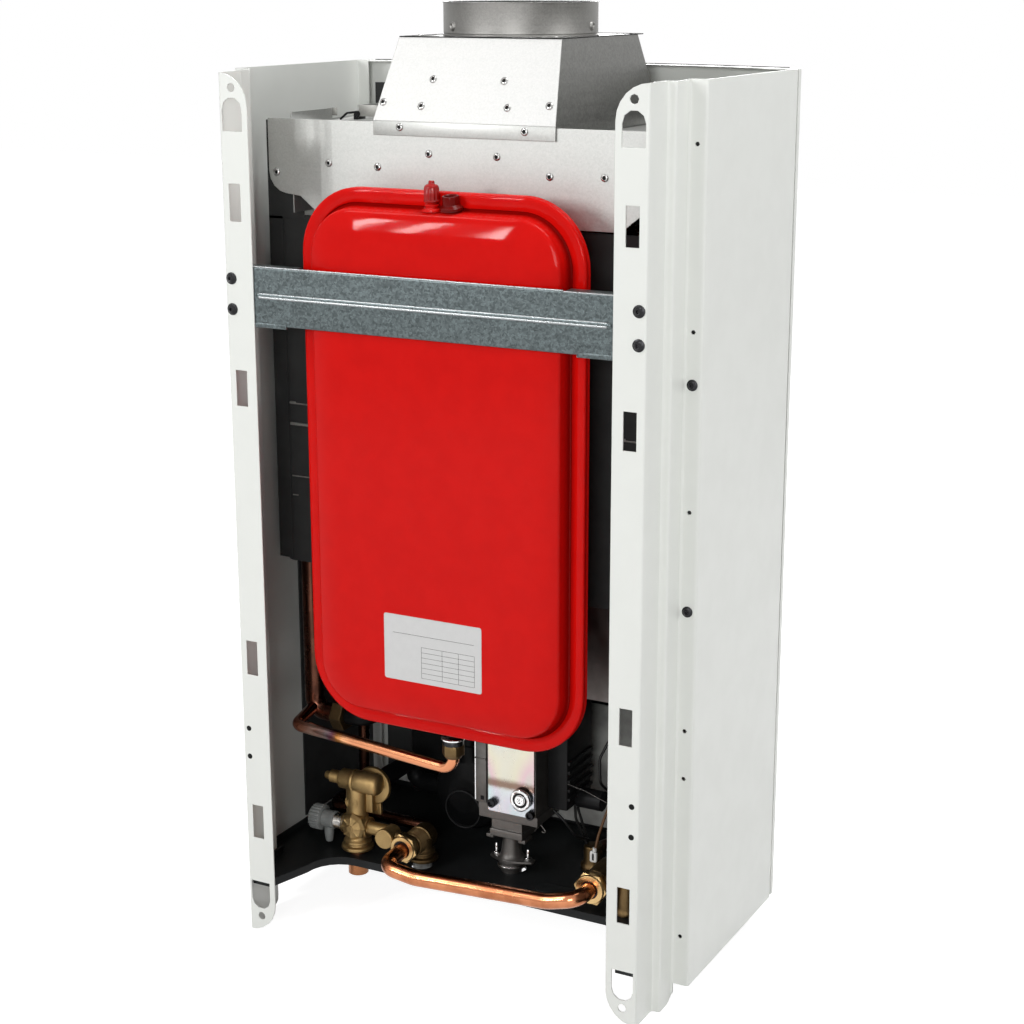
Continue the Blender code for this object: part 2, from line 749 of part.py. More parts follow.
def hood_cone():
    """The tapered flue box: four sloping sheets, a flat top with the flue hole and a riveting strip."""
    base_rear = -0.0587
    outer = [
        rect_ring(CONE_BASE_HALF, base_rear, HOOD_FRONT, CONE_BASE_Z),
        rect_ring(CONE_TOP_HALF, CONE_TOP_REAR, CONE_TOP_FRONT, CONE_TOP_Z),
    ]
    cone = loft("hood_cone", outer, galvanised())
    t = SHEET * 1.05
    inner = [
        rect_ring(CONE_BASE_HALF - t, base_rear - t, HOOD_FRONT + t, CONE_BASE_Z - 0.0005),
        rect_ring(CONE_TOP_HALF - t, CONE_TOP_REAR - t, CONE_TOP_FRONT + t, CONE_TOP_Z - SHEET),
    ]
    cut(cone, loft("cone_inside", inner, galvanised()))
    x = (-CONE_BASE_HALF, CONE_BASE_HALF)
    edge = CONE_BASE_HALF - SHEET
    top = CONE_BASE_Z + 0.0012
    low = 0.6639
    strips = {
        "cone_rear_strip": (x, (-0.0597, base_rear), (0.6615, top)),
        "cone_side_strip_a": ((edge, CONE_BASE_HALF), (HOOD_FRONT + 0.0013, -0.0616), (low, top)),
        "cone_side_strip_b": ((-CONE_BASE_HALF, -edge), (HOOD_FRONT + 0.0013, -0.0616), (low, top)),
    }
    for name, ranges in strips.items():
        fuse(cone, boxes(name, [ranges], galvanised()))
    hole = circle((0, COLLAR_Y), COLLAR_RADIUS - 0.003, 28)
    return cut(cone, prism("cone_flue_hole", hole, "Z", 0.72, 0.75, galvanised()))


def flue_collar():
    """The flue spigot: a rolled ring with a bead, standing on a flat foot."""
    wall = 0.0012
    r = COLLAR_RADIUS
    foot = CONE_TOP_Z + GAP
    profile = [
        (r - wall, foot),
        (r + 0.006, foot),
        (r + 0.006, foot + SHEET),
        (r, foot + SHEET + 0.001),
        (r, foot + 0.0135),
        (r + 0.0012, foot + 0.015),
        (r, foot + 0.0165),
        (r, COLLAR_TOP - 0.0012),
        (r + 0.0012, COLLAR_TOP),
        (r - 0.0022, COLLAR_TOP),
        (r - wall, COLLAR_TOP - 0.0016),
    ]
    return turned("flue_collar", profile, (0, COLLAR_Y, 0), "Z", galvanised(), 28)


def draught_baffle():
    """The folded baffle under the flue that keeps a down-draught off the flames."""
    path = [(-0.198, 0.628), (-0.188, 0.640), (-0.112, 0.640), (-0.102, 0.628)]
    outline = strip_outline(path, 0.0012)
    return prism("draught_baffle", outline, "X", -HOOD_SIDE + 0.0015, HOOD_SIDE - 0.0015, aluminised())


# ---------------------------------------------------------------- combustion chamber and burner


def chamber_rear_panel():
    """The heat shield behind the chamber, with round vertical edges and pressed stiffening ribs."""
    path = [(CHAMBER_HALF, -0.122), (CHAMBER_HALF, CHAMBER_REAR), (-CHAMBER_HALF, CHAMBER_REAR)]
    path.append((-CHAMBER_HALF, -0.122))
    outline = strip_outline(filleted(path, 0.012, 5), -SHEET)
    panel = prism("chamber_rear_panel", outline, "Z", CHAMBER_LOW, CHAMBER_HIGH, dark_sheet())
    y = CHAMBER_REAR
    ribs = []
    for height in (0.441, 0.426, 0.375, 0.361):
        ribs.append([(y - 0.0004, height - 0.0035), (y + 0.0022, height), (y - 0.0004, height + 0.0035)])
    for name, ends in (("rear_ribs_a", (0.128, 0.170)), ("rear_ribs_b", (-0.170, -0.128))):
        fuse(panel, prisms(name, ribs, "X", *ends, dark_sheet()))
    return panel


def chamber_walls():
    """Rear and side walls of the combustion chamber, one folded sheet."""
    path = [(BOX_HALF, BOX_FRONT + 0.0013), (BOX_HALF, BOX_REAR), (-BOX_HALF, BOX_REAR)]
    path.append((-BOX_HALF, BOX_FRONT + 0.0013))
    outline = strip_outline(filleted(path, 0.003, 2), -SHEET)
    return prism("chamber_walls", outline, "Z", 0.306, BOX_HIGH, aluminised())


def chamber_front_panel():
    """The screwed-on front of the chamber, with turned-over edges and a sight window."""
    y = BOX_FRONT
    outline = rounded_rect((0, 0.413), BOX_HALF, 0.107, 0.004, 2)
    panel = prism("chamber_front_panel", outline, "Y", y - SHEET, y, aluminised())
    bezel = [(0, y - 0.0030), (0.0105, y - 0.0030), (0.0125, y - 0.0022), (0.0130, y - 0.0005), (0, y - 0.0005)]
    fuse(panel, turned("sight_window", bezel, (0.0, 0, 0.345), "Y", aluminised(), 14))
    return cut(panel, prisms("panel_electrode_holes", electrode_holes(), "Y", y - 0.01, y + 0.01, aluminised()))


def electrode_holes():
    return [circle((side * ELECTRODE_X, ELECTRODE_Z), 0.0036, 12) for side in (1, -1)]


def chamber_insulation():
    """Ceramic fibre boards that line the chamber, one ring of four."""
    outer = rounded_rect((0, -0.155), 0.1485, 0.0695, 0.002, 1)
    inner = rounded_rect((0, -0.155), 0.1365, 0.0575, 0.002, 1)
    ring = prism("chamber_insulation", outer, "Z", 0.310, 0.516, fibre_board())
    cut(ring, prism("insulation_inside", inner, "Z", 0.30, 0.53, fibre_board()))
    return cut(ring, prisms("board_electrode_holes", electrode_holes(), "Y", -0.23, -0.20, fibre_board()))


def heat_exchanger():
    """The finned copper core over the flames: a slab of tubes with thin fins above and below."""
    fins = 27
    pitch = 0.0099
    half_fin = 0.0004
    top = EXCHANGER_Z + 0.030
    low = EXCHANGER_Z - 0.032
    slab = 0.010
    half = (fins - 1) / 2 * pitch + half_fin
    upper = []
    for index in range(fins):
        x = half - half_fin - index * pitch
        upper += [(x + half_fin, EXCHANGER_Z + slab), (x + half_fin, top), (x - half_fin, top)]
        upper.append((x - half_fin, EXCHANGER_Z + slab))
    lower = [(x, low if z == top else EXCHANGER_Z - slab) for x, z in upper[::-1]]
    core = prism("heat_exchanger", upper + lower, "Y", -0.218, -0.092, copper())
    for name, side in (("return_header", 1), ("flow_header", -1)):
        exchanger_header(core, name, side)
    return core


def exchanger_header(core, name, side):
    """Brazes a water box to one end of the core, with stubs for the heating and hot water pipes."""
    x = sorted((side * 0.1285, side * 0.152))
    y = (-0.213, -0.097)
    fuse(core, box(name, x, y, (EXCHANGER_Z - 0.014, EXCHANGER_Z + 0.014), copper(), 0.004))
    for number, stub_y, radius in ((1, -0.112, 0.0088), (2, -0.180, 0.0066)):
        start = (side * 0.148, stub_y, EXCHANGER_Z)
        end = (side * 0.1592, stub_y, EXCHANGER_Z)
        fuse(core, cylinder(f"{name}_stub_{number}", radius, start, end, copper(), 12))


def burner():
    """The burner: a row of upright blades on two rails, each with a flared mouth at the front."""
    rear, front = (-0.1035, -0.0995), (-0.2065, -0.2025)
    z = (0.262, 0.284)
    rails = [
        ((-0.134, 0.134), rear, z),
        ((-0.134, 0.134), front, z),
        ((-0.134, -0.1325), (front[0], rear[1]), z),
        ((0.1325, 0.134), (front[0], rear[1]), z),
    ]
    shield_y = (rear[1] - GAP, rear[1] + SHEET)
    rails.append(((-SHIELD_HALF, SHIELD_HALF), shield_y, (SHIELD_LOW, BURNER_TOP + SHEET)))
    frame = boxes("burner", rails[:1], stainless())
    for index, rail in enumerate(rails[1:]):
        fuse(frame, boxes(f"burner_rail_{index}", [rail], stainless()))
    bm = bmesh.new()
    for index in range(BLADES):
        add_blade(bm, (index - (BLADES - 1) / 2) * BLADE_PITCH)
    fuse(frame, new_object("burner_blades", bm, stainless()))
    bm = bmesh.new()
    for index in range(BLADES):
        x = (index - (BLADES - 1) / 2) * BLADE_PITCH
        for port in range(PORTS):
            y = -0.153 + (port - (PORTS - 1) / 2) * 0.0198
            mouth = [(x - 0.0022, y - 0.006), (x + 0.0022, y - 0.006), (x + 0.0022, y + 0.006)]
            mouth.append((x - 0.0022, y + 0.006))
            add_prism(bm, mouth, "Z", BURNER_TOP - 0.004, BURNER_TOP + 0.002)
    return cut(frame, new_object("flame_ports", bm, stainless()))


def add_blade(bm, x):
    """One burner blade: a waisted sheet-metal section with a long venturi foot."""
    half_top = 0.0042
    section = [(x - half_top, BURNER_TOP), (x + half_top, BURNER_TOP), (x + half_top, 0.292)]
    section += [(x + 0.0016, 0.286), (x + 0.0016, 0.266), (x + 0.0055, 0.258), (x + 0.0055, 0.248)]
    section += [(x + 0.0025, BURNER_LOW), (x - 0.0025, BURNER_LOW), (x - 0.0055, 0.248)]
    section += [(x - 0.0055, 0.258), (x - 0.0016, 0.266), (x - 0.0016, 0.286), (x - half_top, 0.292)]
    add_prism(bm, section, "Y", -0.206, -0.100)


def gas_manifold():
    """The gas rail with one injector for each blade."""
    y = -0.2205
    z = 0.252
    rail = box("gas_manifold", (-0.136, 0.136), (y - 0.0065, y + 0.0035), (z - 0.0075, z + 0.0075), brass(), 0.0015)
    bm = bmesh.new()
    for index in range(BLADES):
        x = (index - (BLADES - 1) / 2) * BLADE_PITCH
        add_prism(bm, circle((x, z), 0.0032, 6), "Y", y + 0.003, y + 0.0105)
    fuse(rail, new_object("injectors", bm, brass()))
    start = (GAS_X, y - 0.0015, z - 0.0065)
    end = (GAS_X, y - 0.0015, z - 0.016)
    return fuse(rail, cylinder("manifold_inlet", 0.0075, start, end, brass(), 12))


def electrode(name, x, reach):
    """A ceramic-bodied electrode that leans in over the blades."""
    profile = [(0, 0), (0.0055, 0), (0.0055, 0.006), (0.0030, 0.0065), (0.0030, 0.030), (0.0012, 0.031)]
    profile += [(0.0012, 0.031 + reach), (0, 0.031 + reach)]
    return turned(name, profile, (x, BOX_FRONT - 0.0082, ELECTRODE_Z), "Y", pale_plastic(), 10)


# ---------------------------------------------------------------- gas valve


def gas_valve_body():
    """The die-cast gas valve with its stepped flange, neck and inlet flange."""
    body = box("gas_valve_body", (-0.041, 0.0135), (-0.175, -0.0995), (0.1045, 0.205), die_cast(), 0.0012)
    pieces = [
        box("valve_foot", (-0.0427, 0.0129), (-0.150, -0.0998), (0.0975, 0.1063), die_cast(), 0.0008),
        box("valve_neck", (-0.0275, 0.0015), (-0.136, -0.1012), (0.0880, 0.0991), die_cast(), 0.0007),
        box("valve_neck_plate", (-0.0285, 0.0025), (-0.138, -0.0995), (0.0822, 0.0892), die_cast(), 0.0009),
    ]
    rib = box("valve_side_rib", (0.0119, 0.0155), (-0.165, -0.108), (0.1131, 0.1988), die_cast(), 0.0009)
    outlet = cylinder("valve_outlet", 0.012, (GAS_X, -0.132, 0.2030), (GAS_X, -0.132, 0.2145), die_cast(), 12)
    return fuse(body, *pieces, rib, outlet)


def gas_valve_plate():
    """The bright rear plate with the turned-out rim round its pressure screw."""
    outline = rounded_rect((-0.0193, 0.1525), 0.0215, 0.0465, 0.0015, 2)
    plate = prism("gas_valve_plate", outline, "Y", -0.0992, -0.0972, zinc_plate())
    ring = [(0.0058, 0), (0.0078, 0), (0.0078, 0.0035), (0.0066, 0.0042), (0.0058, 0.0042)]
    fuse(plate, turned("plate_screw_rim", ring, (-0.0290, -0.0976, 0.1195), "Y", zinc_plate(), 14))
    return plate


def gas_valve_coil():
    """The black solenoid and modulator block on the side of the valve."""
    block = box("gas_valve_coil", (-0.0665, -0.0415), (-0.170, -0.112), (0.118, 0.192), black_plastic(), 0.003)
    knob = cylinder("coil_cap", 0.011, (-0.054, -0.141, 0.190), (-0.054, -0.141, 0.204), black_plastic(), 12)
    plug = box("coil_plug", (-0.082, -0.060), (-0.160, -0.128), (0.100, 0.124), black_plastic(), 0.002)
    return fuse(block, knob, plug)


def gas_inlet():
    """The two-eared inlet flange and its upright tube, which stand on the tray."""
    z = TRAY_FLOOR + GAP
    tube = [(0, z), (0.0100, z), (0.0102, z + 0.0055), (0.0096, z + 0.0075), (0.0084, 0.0819), (0, 0.0819)]
    inlet = turned("gas_inlet", tube, (GAS_X, GAS_Y, 0), "Z", die_cast(), ROUND)
    x, y = GAS_X, GAS_Y
    ears = []
    for angle in range(0, 360, 30):
        stretch = 0.0185 if angle in (0, 180) else 0.0125
        ears.append((x + stretch * cos(radians(angle)), y + stretch * 0.75 * sin(radians(angle))))
    fuse(inlet, prism("gas_inlet_ears", ears, "Z", z + 0.0068, z + 0.0105, die_cast()))
    return tail(inlet, "gas_tail", x, y, die_cast())


def gas_pipe():
    """From the outlet of the gas valve, forward and up to the burner rail."""
    x = GAS_X
    corners = [(x, -0.132, 0.2148), (x, -0.132, 0.2265), (x, -0.196, 0.2265), (x, -0.222, 0.2275)]
    corners += [(x, -0.222, 0.2357)]
    return pipe("gas_pipe", corners, 0.0065, 0.0075, copper(), 3, 4)


# ---------------------------------------------------------------- water side


def tail(body, name, x, y, surface, foot=0.0485):
    """Adds the open threaded tail that passes down through the tray for the house pipework."""
    outer, bore, floor = 0.0087, 0.0058, STUB_END + 0.0195
    profile = [(0, floor), (bore, floor), (bore, STUB_END), (outer - 0.0008, STUB_END)]
    profile += [(outer, STUB_END + 0.0012), (outer, foot), (0, foot)]
    return fuse(body, turned(name, profile, (x, y, 0), "Z", surface, 12))


def return_group():
    """The brass casting of the heating return: upright body, cross barrel, flange and union."""
    x, y = RETURN_X, WATER_Y
    z = TRAY_FLOOR + GAP
    upright = [(0, z), (0.0108, z), (0.0110, z + 0.0035), (0.0080, z + 0.0065), (0.0072, z + 0.010)]
    upright += [(0.0072, 0.078), (0.0078, 0.082), (0.0078, 0.112), (0, 0.112)]
    body = turned("return_group", upright, (x, y, 0), "Z", brass(), ROUND)
    barrel = [(0, 0), (0.0048, 0), (0.0070, 0.003), (0.0072, 0.030), (0.0062, 0.032), (0.0062, 0.047)]
    barrel += [(0.0048, 0.048), (0.0048, 0.0535), (0, 0.0535)]
    pieces = [
        prism("return_union", hexagon((x, y), 0.0175), "Z", 0.0585, 0.0755, brass()),
        turned("return_barrel", barrel, (0.0985, y + 0.006, 0.117), "X", brass(), 12),
        cylinder("return_flange", 0.0118, (0.107, -0.096, 0.1125), (0.107, -0.0915, 0.1125), brass(), 14),
        box("return_flange_tail", (0.1005, 0.1145), (-0.0955, -0.0920), (0.088, 0.112), brass(), 0.001),
        box("return_web", (0.108, 0.124), (-0.0955, -0.0885), (0.090, 0.115), brass(), 0.001),
        cylinder("return_drain_port", 0.0058, (x, y, 0.0705), (0.1425, y, 0.0705), brass(), 10),
        cylinder("return_link", 0.0060, (x, y - 0.004, 0.0690), (0.0915, y - 0.004, 0.0690), brass(), 10),
    ]
    plug = [(0, -0.0930), (0.0058, -0.0930), (0.0066, -0.0915), (0.0066, -0.0735), (0.0058, -0.0722), (0, -0.0722)]
    pieces.append(turned("return_test_plug", plug, (0.0890, 0, 0.0718), "Y", brass(), 12))
    return tail(fuse(body, *pieces), "return_tail", RETURN_X, WATER_Y, brass())


def drain_cock():
    """The plastic drain cock: a body with a hose nozzle, and a ribbed cap that turns."""
    y, z = WATER_Y, 0.0705
    barrel = [(0, 0.1428), (0.0052, 0.1428), (0.0066, 0.1440), (0.0078, 0.1448), (0.0078, 0.1590), (0, 0.1590)]
    body = turned("drain_cock_body", barrel, (0, y, z), "X", grey_plastic(), 12)
    nozzle = [(0, 0), (0.0036, 0), (0.0042, 0.0045), (0.0036, 0.0050), (0.0042, 0.0095), (0.0042, 0.016), (0, 0.016)]
    fuse(body, turned("drain_nozzle", nozzle, (0.1535, y, 0.0505), "Z", grey_plastic(), 12))
    start = 0.1594
    cap = prism("drain_cock_cap", wavy((y, z), 0.0090, 0.0098, 16), "X", start + 0.001, start + 0.0130, grey_plastic())
    rim = [(0, 0), (0.0104, 0), (0.0104, 0.0022), (0, 0.0022)]
    fuse(cap, turned("drain_cap_rim", rim, (start, y, z), "X", grey_plastic(), 14))
    return set_pivot(cap, (start, y, z))


def cold_group():
    """The brass cold inlet, with the threaded outlet that the bypass pipe screws on to."""
    x, y, z = 0.0705, -0.0785, 0.0675
    base = TRAY_FLOOR + GAP
    barrel = [(0, y), (0.0082, y), (0.0082, y - 0.006), (0.0112, y - 0.008), (0.0112, -0.108), (0.0095, -0.110), (0, -0.110)]
    body = turned("cold_group", barrel, (x, 0, z), "Y", brass(), ROUND)
    foot = [(0, base), (0.0112, base), (0.0112, base + 0.004), (0.0082, base + 0.006), (0.0082, z), (0, z)]
    fuse(body, turned("cold_foot", foot, (COLD_X, WATER_Y, 0), "Z", brass(), 12))
    link = cylinder("cold_link", 0.0055, (0.0816, WATER_Y - 0.004, 0.069), (0.070, WATER_Y - 0.004, 0.069), brass(), 10)
    return tail(fuse(body, link), "cold_tail", COLD_X, WATER_Y, brass())


def union_nut(name, center, y_rear, y_front, across, turn):
    """A union nut round the end of a copper pipe, with a chamfered face."""
    x, z = center
    nut = prism(name, hexagon((x, z), across, turn), "Y", y_front, y_rear - 0.002, brass())
    face = [(0, y_rear - 0.0025), (across * 0.54, y_rear - 0.0025), (across * 0.44, y_rear), (0, y_rear)]
    fuse(nut, turned(name + "_face", face, (x, 0, z), "Y", brass(), ROUND))
    bore = circle((x, z), 0.0074, 12)
    return cut(nut, prism(name + "_bore", bore, "Y", y_front - 0.01, y_rear + 0.01, brass()))


def bypass():
    """The copper bypass across the back and its two union nuts."""
    left = (0.0705, 0.0675)
    right = (-0.105, 0.0690)
    union_nut("bypass_nut_right", left, -0.0670, -0.0781, 0.0205, 30)
    union_nut("bypass_nut_left", right, -0.0690, -0.0809, 0.0240, 12)
    corners = [
        (left[0], -0.0781, left[1]),
        (left[0], -0.0375, left[1]),
        (0.040, -0.0385, 0.0615),
        (-0.078, -0.0475, 0.0625),
        (right[0], -0.0500, right[1]),
        (right[0], -0.0809, right[1]),
    ]
    return pipe("bypass_pipe", corners, 0.0065, [0.0125, 0.05, 0.05, 0.0125], copper(), 10, 4)


def flow_group():
    """The brass casting of the heating flow, with the safety valve that faces the front."""
    x, z = -0.105, 0.069
    base = TRAY_FLOOR + GAP
    barrel = [(0, -0.0813), (0.0120, -0.0813), (0.0120, -0.112), (0.010, -0.114), (0, -0.114)]
    body = turned("flow_group", barrel, (x, 0, z), "Y", brass(), ROUND)
    foot = [(0, base), (0.0112, base), (0.0112, base + 0.004), (0.0085, base + 0.006), (0.0085, 0.104), (0, 0.104)]
    link = cylinder("flow_link", 0.0075, (x, -0.092, z), (FLOW_X, -0.092, z), brass(), 10)
    fuse(body, turned("flow_foot", foot, (FLOW_X, WATER_Y, 0), "Z", brass(), 12), link)
    face = SAFETY_VALVE[1] + 0.0005
    port = [(0, WATER_Y), (0.0072, WATER_Y), (0.0072, face + 0.0155), (0.011, face + 0.015), (0.011, face + 0.003)]
    port += [(0.009, face), (0.0042, face - 0.0002), (0.0042, face - 0.006), (0, face - 0.006)]
    fuse(body, turned("safety_valve_bonnet", port, (FLOW_X, 0, SAFETY_VALVE[2]), "Y", brass(), 12))
    return tail(body, "flow_tail", FLOW_X, WATER_Y, brass())


def safety_valve_knob():
    """The red relief knob of the safety valve."""
    x, y, z = SAFETY_VALVE
    grip = prism("safety_valve_knob", wavy((x, z), 0.0112, 0.0125, 12), "Y", y - 0.012, y, red_enamel())
    socket = circle((x, z), 0.0047, 12)
    cut(grip, prism("safety_knob_socket", socket, "Y", y - 0.0065, y + 0.001, red_enamel()))
    return set_pivot(grip, SAFETY_VALVE)


def pump():
    """The circulation pump: a black volute and motor can, and the rotor that turns in them."""
    x, z = PUMP
    rear, split, end = -0.140, -0.165, -0.198
    volute = [(0, rear), (0.015, rear), (0.0165, rear - 0.002), (0.029, rear - 0.0045), (0.033, rear - 0.010)]
    volute += [(0.033, split), (0.023, split), (0.023, rear - 0.010), (0, rear - 0.010)]
    shell = turned("pump_volute", volute, (x, 0, z), "Y", black_plastic(), 20)
    y = -0.1535
    outlet = cylinder("pump_outlet_port", 0.0085, (x, y, z + 0.027), (x, y, z + 0.044), black_plastic(), 12)
    inlet = [(x + 0.028, y, z), (0.107, y, z), (0.107, y, 0.1125), (0.107, -0.0963, 0.1125)]
    fuse(shell, outlet, pipe("pump_inlet_bend", inlet, 0.0080, [0.0085, 0.0085], black_plastic()))
    can = [(0, end), (0.024, end), (0.029, end + 0.004), (0.031, end + 0.010), (0.031, split - GAP)]
    can += [(0.0185, split - GAP), (0.0185, end + 0.006), (0, end + 0.006)]
    turned("pump_motor", can, (x, 0, z), "Y", black_plastic(), 20)
    return pump_rotor(x, end + 0.0065, z)


def pump_rotor(x, y, z):
    """The magnet rotor, its shaft and a six-vane impeller on one axis."""
    profile = [(0, 0), (0.004, 0), (0.004, 0.003), (0.0175, 0.003), (0.0175, 0.024), (0.004, 0.024)]
    profile += [(0.004, 0.0275), (0.0215, 0.0275), (0.0215, 0.0295), (0, 0.0295)]
    rotor = turned("pump_rotor", profile, (x, y, z), "Y", stainless(), ROUND)
    bm = bmesh.new()
    for index in range(6):
        vane = []
        for step in range(4):
            angle = radians(60 * index + 19 * step)
            radius = 0.005 + 0.005 * step
            vane.append((x + radius * cos(angle), z + radius * sin(angle)))
        add_prism(bm, strip_outline(vane, 0.0012), "Y", y + 0.0291, y + 0.0395)
    fuse(rotor, new_object("impeller_vanes", bm, stainless()))
    return set_pivot(rotor, (x, y, z))


def pump_outlet():
    """The black tube from the pump up to the exchanger pipe, and the union nut on it."""
    x, z = PUMP
    y = -0.1535
    corners = [(x, y, z + 0.0444), (x, y, 0.168), (0.118, y, 0.168), (0.118, -0.092, 0.168)]
    corners.append((0.1355, -0.092, 0.168))
    pipe("pump_outlet_tube", corners, 0.0075, [0.0095, 0.0095, 0.0095], black_plastic())
    nut = prism("pump_union_nut", hexagon((-0.092, 0.168), 0.0235), "X", 0.1358, 0.1465, brass())
    return nut


def riser(name, side, foot, bends):
    """A heating pipe that climbs beside the chamber and turns into a header."""
    x = side * 0.168
    top = EXCHANGER_Z
    corners = foot + [(x, -0.092, top), (x, -0.112, top), (side * 0.1604, -0.112, top)]
    return pipe(name, corners, 0.007, bends + [0.009, 0.0074], copper(), 8, 3)


def hot_water_pipes():
    """The cold and hot water pipes of the double-circuit exchanger."""
    top = EXCHANGER_Z
    cold = [(0.0705, -0.1104, 0.0675), (0.0705, -0.1195, 0.0675), (0.176, -0.125, 0.0655), (0.176, -0.180, 0.0670)]
    cold += [(0.176, -0.180, top), (0.1604, -0.180, top)]
    pipe("cold_water_pipe", cold, 0.005, [0.0075, 0.012, 0.012, 0.010], copper(), 8, 3)
    hot = [(HOT_X, -0.1606, 0.060), (HOT_X, -0.178, 0.060), (-0.176, -0.180, 0.0605), (-0.176, -0.180, top)]
    hot.append((-0.1604, -0.180, top))
    pipe("hot_water_pipe", hot, 0.005, [0.012, 0.012, 0.010], copper(), 8, 3)
    elbow = [(0, TRAY_FLOOR + GAP), (0.0105, TRAY_FLOOR + GAP), (0.0105, 0.052), (0.008, 0.054), (0.008, 0.0675)]
    elbow += [(0.006, 0.069), (0, 0.069)]
    body = turned("hot_outlet_elbow", elbow, (HOT_X, HOT_Y, 0), "Z", brass(), 12)
    port = cylinder("hot_elbow_port", 0.0072, (HOT_X, HOT_Y, 0.060), (HOT_X, HOT_Y - 0.0102, 0.060), brass(), 10)
    return tail(fuse(body, port), "hot_tail", HOT_X, HOT_Y, brass())


# ---------------------------------------------------------------- controls


def control_box():
    """The control box behind the cover window: a moulded case with a sloping back."""
    profile = [(-0.2485, 0.062), (-0.2005, 0.058), (-0.2005, 0.128), (-0.214, 0.170), (-0.2485, 0.170)]
    case = prism("control_box", profile, "X", -0.139, 0.139, black_plastic())
    rounder = case.modifiers.new("edge_radius", "BEVEL")
    rounder.width = 0.002
    rounder.segments = 1
    rounder.limit_method = "ANGLE"
    holes = []
    for x in KNOB_X:
        holes.append(circle((x, KNOB_Z), 0.0042, 12))
    cut(case, prisms("spindle_holes", holes, "Y", -0.26, -0.236, black_plastic()))
    gauge = circle((GAUGE_X, KNOB_Z), 0.0212, 20)
    cut(case, prism("gauge_pocket", gauge, "Y", -0.26, -0.2395, black_plastic()))
    return case


KNOB_X = (-0.100, -0.052)
KNOB_Z = 0.112
GAUGE_X = 0.030


def fascia():
    """The pale front plate of the control box, with holes for the knobs and the gauge."""
    low, high = 0.074, 0.150
    outline = rounded_rect((0, (low + high) / 2), 0.126, (high - low) / 2, 0.009, 4)
    plate = prism("control_fascia", outline, "Y", -0.2512, -0.2488, grey_plastic())
    holes = []
    for x in KNOB_X:
        holes.append(circle((x, KNOB_Z), 0.0042, 12))
    holes.append(circle((GAUGE_X, KNOB_Z), 0.0207, 20))
    return cut(plate, prisms("fascia_holes", holes, "Y", -0.26, -0.24, grey_plastic()))


def knob(name, x):
    """A control knob: a fluted skirt, a pointer bar and a spindle through the fascia."""
    y, z = -0.2492, KNOB_Z
    body = prism(name, wavy((x, z), 0.0150, 0.0158, 18), "Y", y - 0.0095, y - 0.0030, pale_plastic())
    across, along = (x - 0.0028, x + 0.0028), (z - 0.0138, z + 0.0138)
    pointer = box(name + "_pointer", across, (y - 0.0125, y - 0.0090), along, pale_plastic(), 0.0008)
    spindle = cylinder(name + "_spindle", 0.0036, (x, y - 0.0035, z), (x, y + 0.0110, z), pale_plastic(), 12)
    return set_pivot(fuse(body, pointer, spindle), (x, y, z))


def pressure_gauge():
    """The round water pressure gauge and its needle."""
    case = [(0, -0.2400), (0.0200, -0.2400), (0.0200, -0.2532), (0.0186, -0.2540), (0.0178, -0.2532)]
    case += [(0.0178, -0.2500), (0, -0.2500)]
    gauge = turned("pressure_gauge", case, (GAUGE_X, 0, KNOB_Z), "Y", pale_plastic(), 20)
    pin = circle((GAUGE_X, KNOB_Z), 0.0016, 10)
    cut(gauge, prism("gauge_pin_hole", pin, "Y", -0.26, -0.246, pale_plastic()))
    y = -0.2509
    x, z = GAUGE_X, KNOB_Z
    blade = [(x - 0.0009, z - 0.0045), (x + 0.0009, z - 0.0045), (x + 0.0003, z + 0.0135), (x - 0.0003, z + 0.0135)]
    needle = prism("gauge_needle", blade, "Y", y - 0.0008, y, black_plastic())
    hub = cylinder("needle_hub", 0.0012, (x, y - 0.0012, z), (x, y + 0.0032, z), black_plastic(), 10)
    return set_pivot(fuse(needle, hub), (x, y, z))


def wiring():
    """The black loom from the gas valve to the control box and the grey sensor capillary."""
    loom = [(-0.0824, -0.150, 0.112), (-0.096, -0.150, 0.112), (-0.098, -0.180, 0.104), (-0.098, -0.2001, 0.104)]
    pipe("gas_valve_cable", loom, 0.0024, [0.009, 0.008], rubber(), 6, 3)


def clear_scene():
    for existing in list(bpy.data.objects):
        bpy.data.objects.remove(existing, do_unlink=True)


def build_casing():
    side_panel("side_panel_right", 1)
    side_panel("side_panel_left", -1)
    front_cover()
    base_tray()
    hanging_bar()


def build_vessel():
    vessel_rear_shell()
    vessel_front_shell()
    vessel_rim()
    vessel_membrane()
    air_valve_cap()
    vessel_connection()


def build_hood():
    hood_rear_plate()
    hood_body()
    hood_cone()
    flue_collar()
    draught_baffle()


def build_combustion():
    chamber_rear_panel()
    chamber_walls()
    chamber_front_panel()
    chamber_insulation()
    heat_exchanger()
    burner()
    gas_manifold()
    electrode("ignition_electrode", ELECTRODE_X, 0.010)
    electrode("flame_electrode", -ELECTRODE_X, 0.016)


def build_gas():
    gas_valve_body()
    gas_valve_plate()
    gas_valve_coil()
    gas_inlet()
    gas_pipe()


def build_water():
    return_group()
    drain_cock()
    cold_group()
    bypass()
    flow_group()
    safety_valve_knob()
    pump()
    pump_outlet()
    riser("return_riser", 1, [(0.1468, -0.092, 0.168), (0.168, -0.092, 0.168)], [0.013])
    flow_foot = [(FLOW_X, WATER_Y, 0.1043), (FLOW_X, WATER_Y, 0.125), (-0.168, -0.092, 0.140)]
    riser("flow_riser", -1, flow_foot, [0.012, 0.012])
    hot_water_pipes()


def build_controls():
    control_box()
    fascia()
    knob("heating_knob", KNOB_X[0])
    knob("hot_water_knob", KNOB_X[1])
    pressure_gauge()
    wiring()


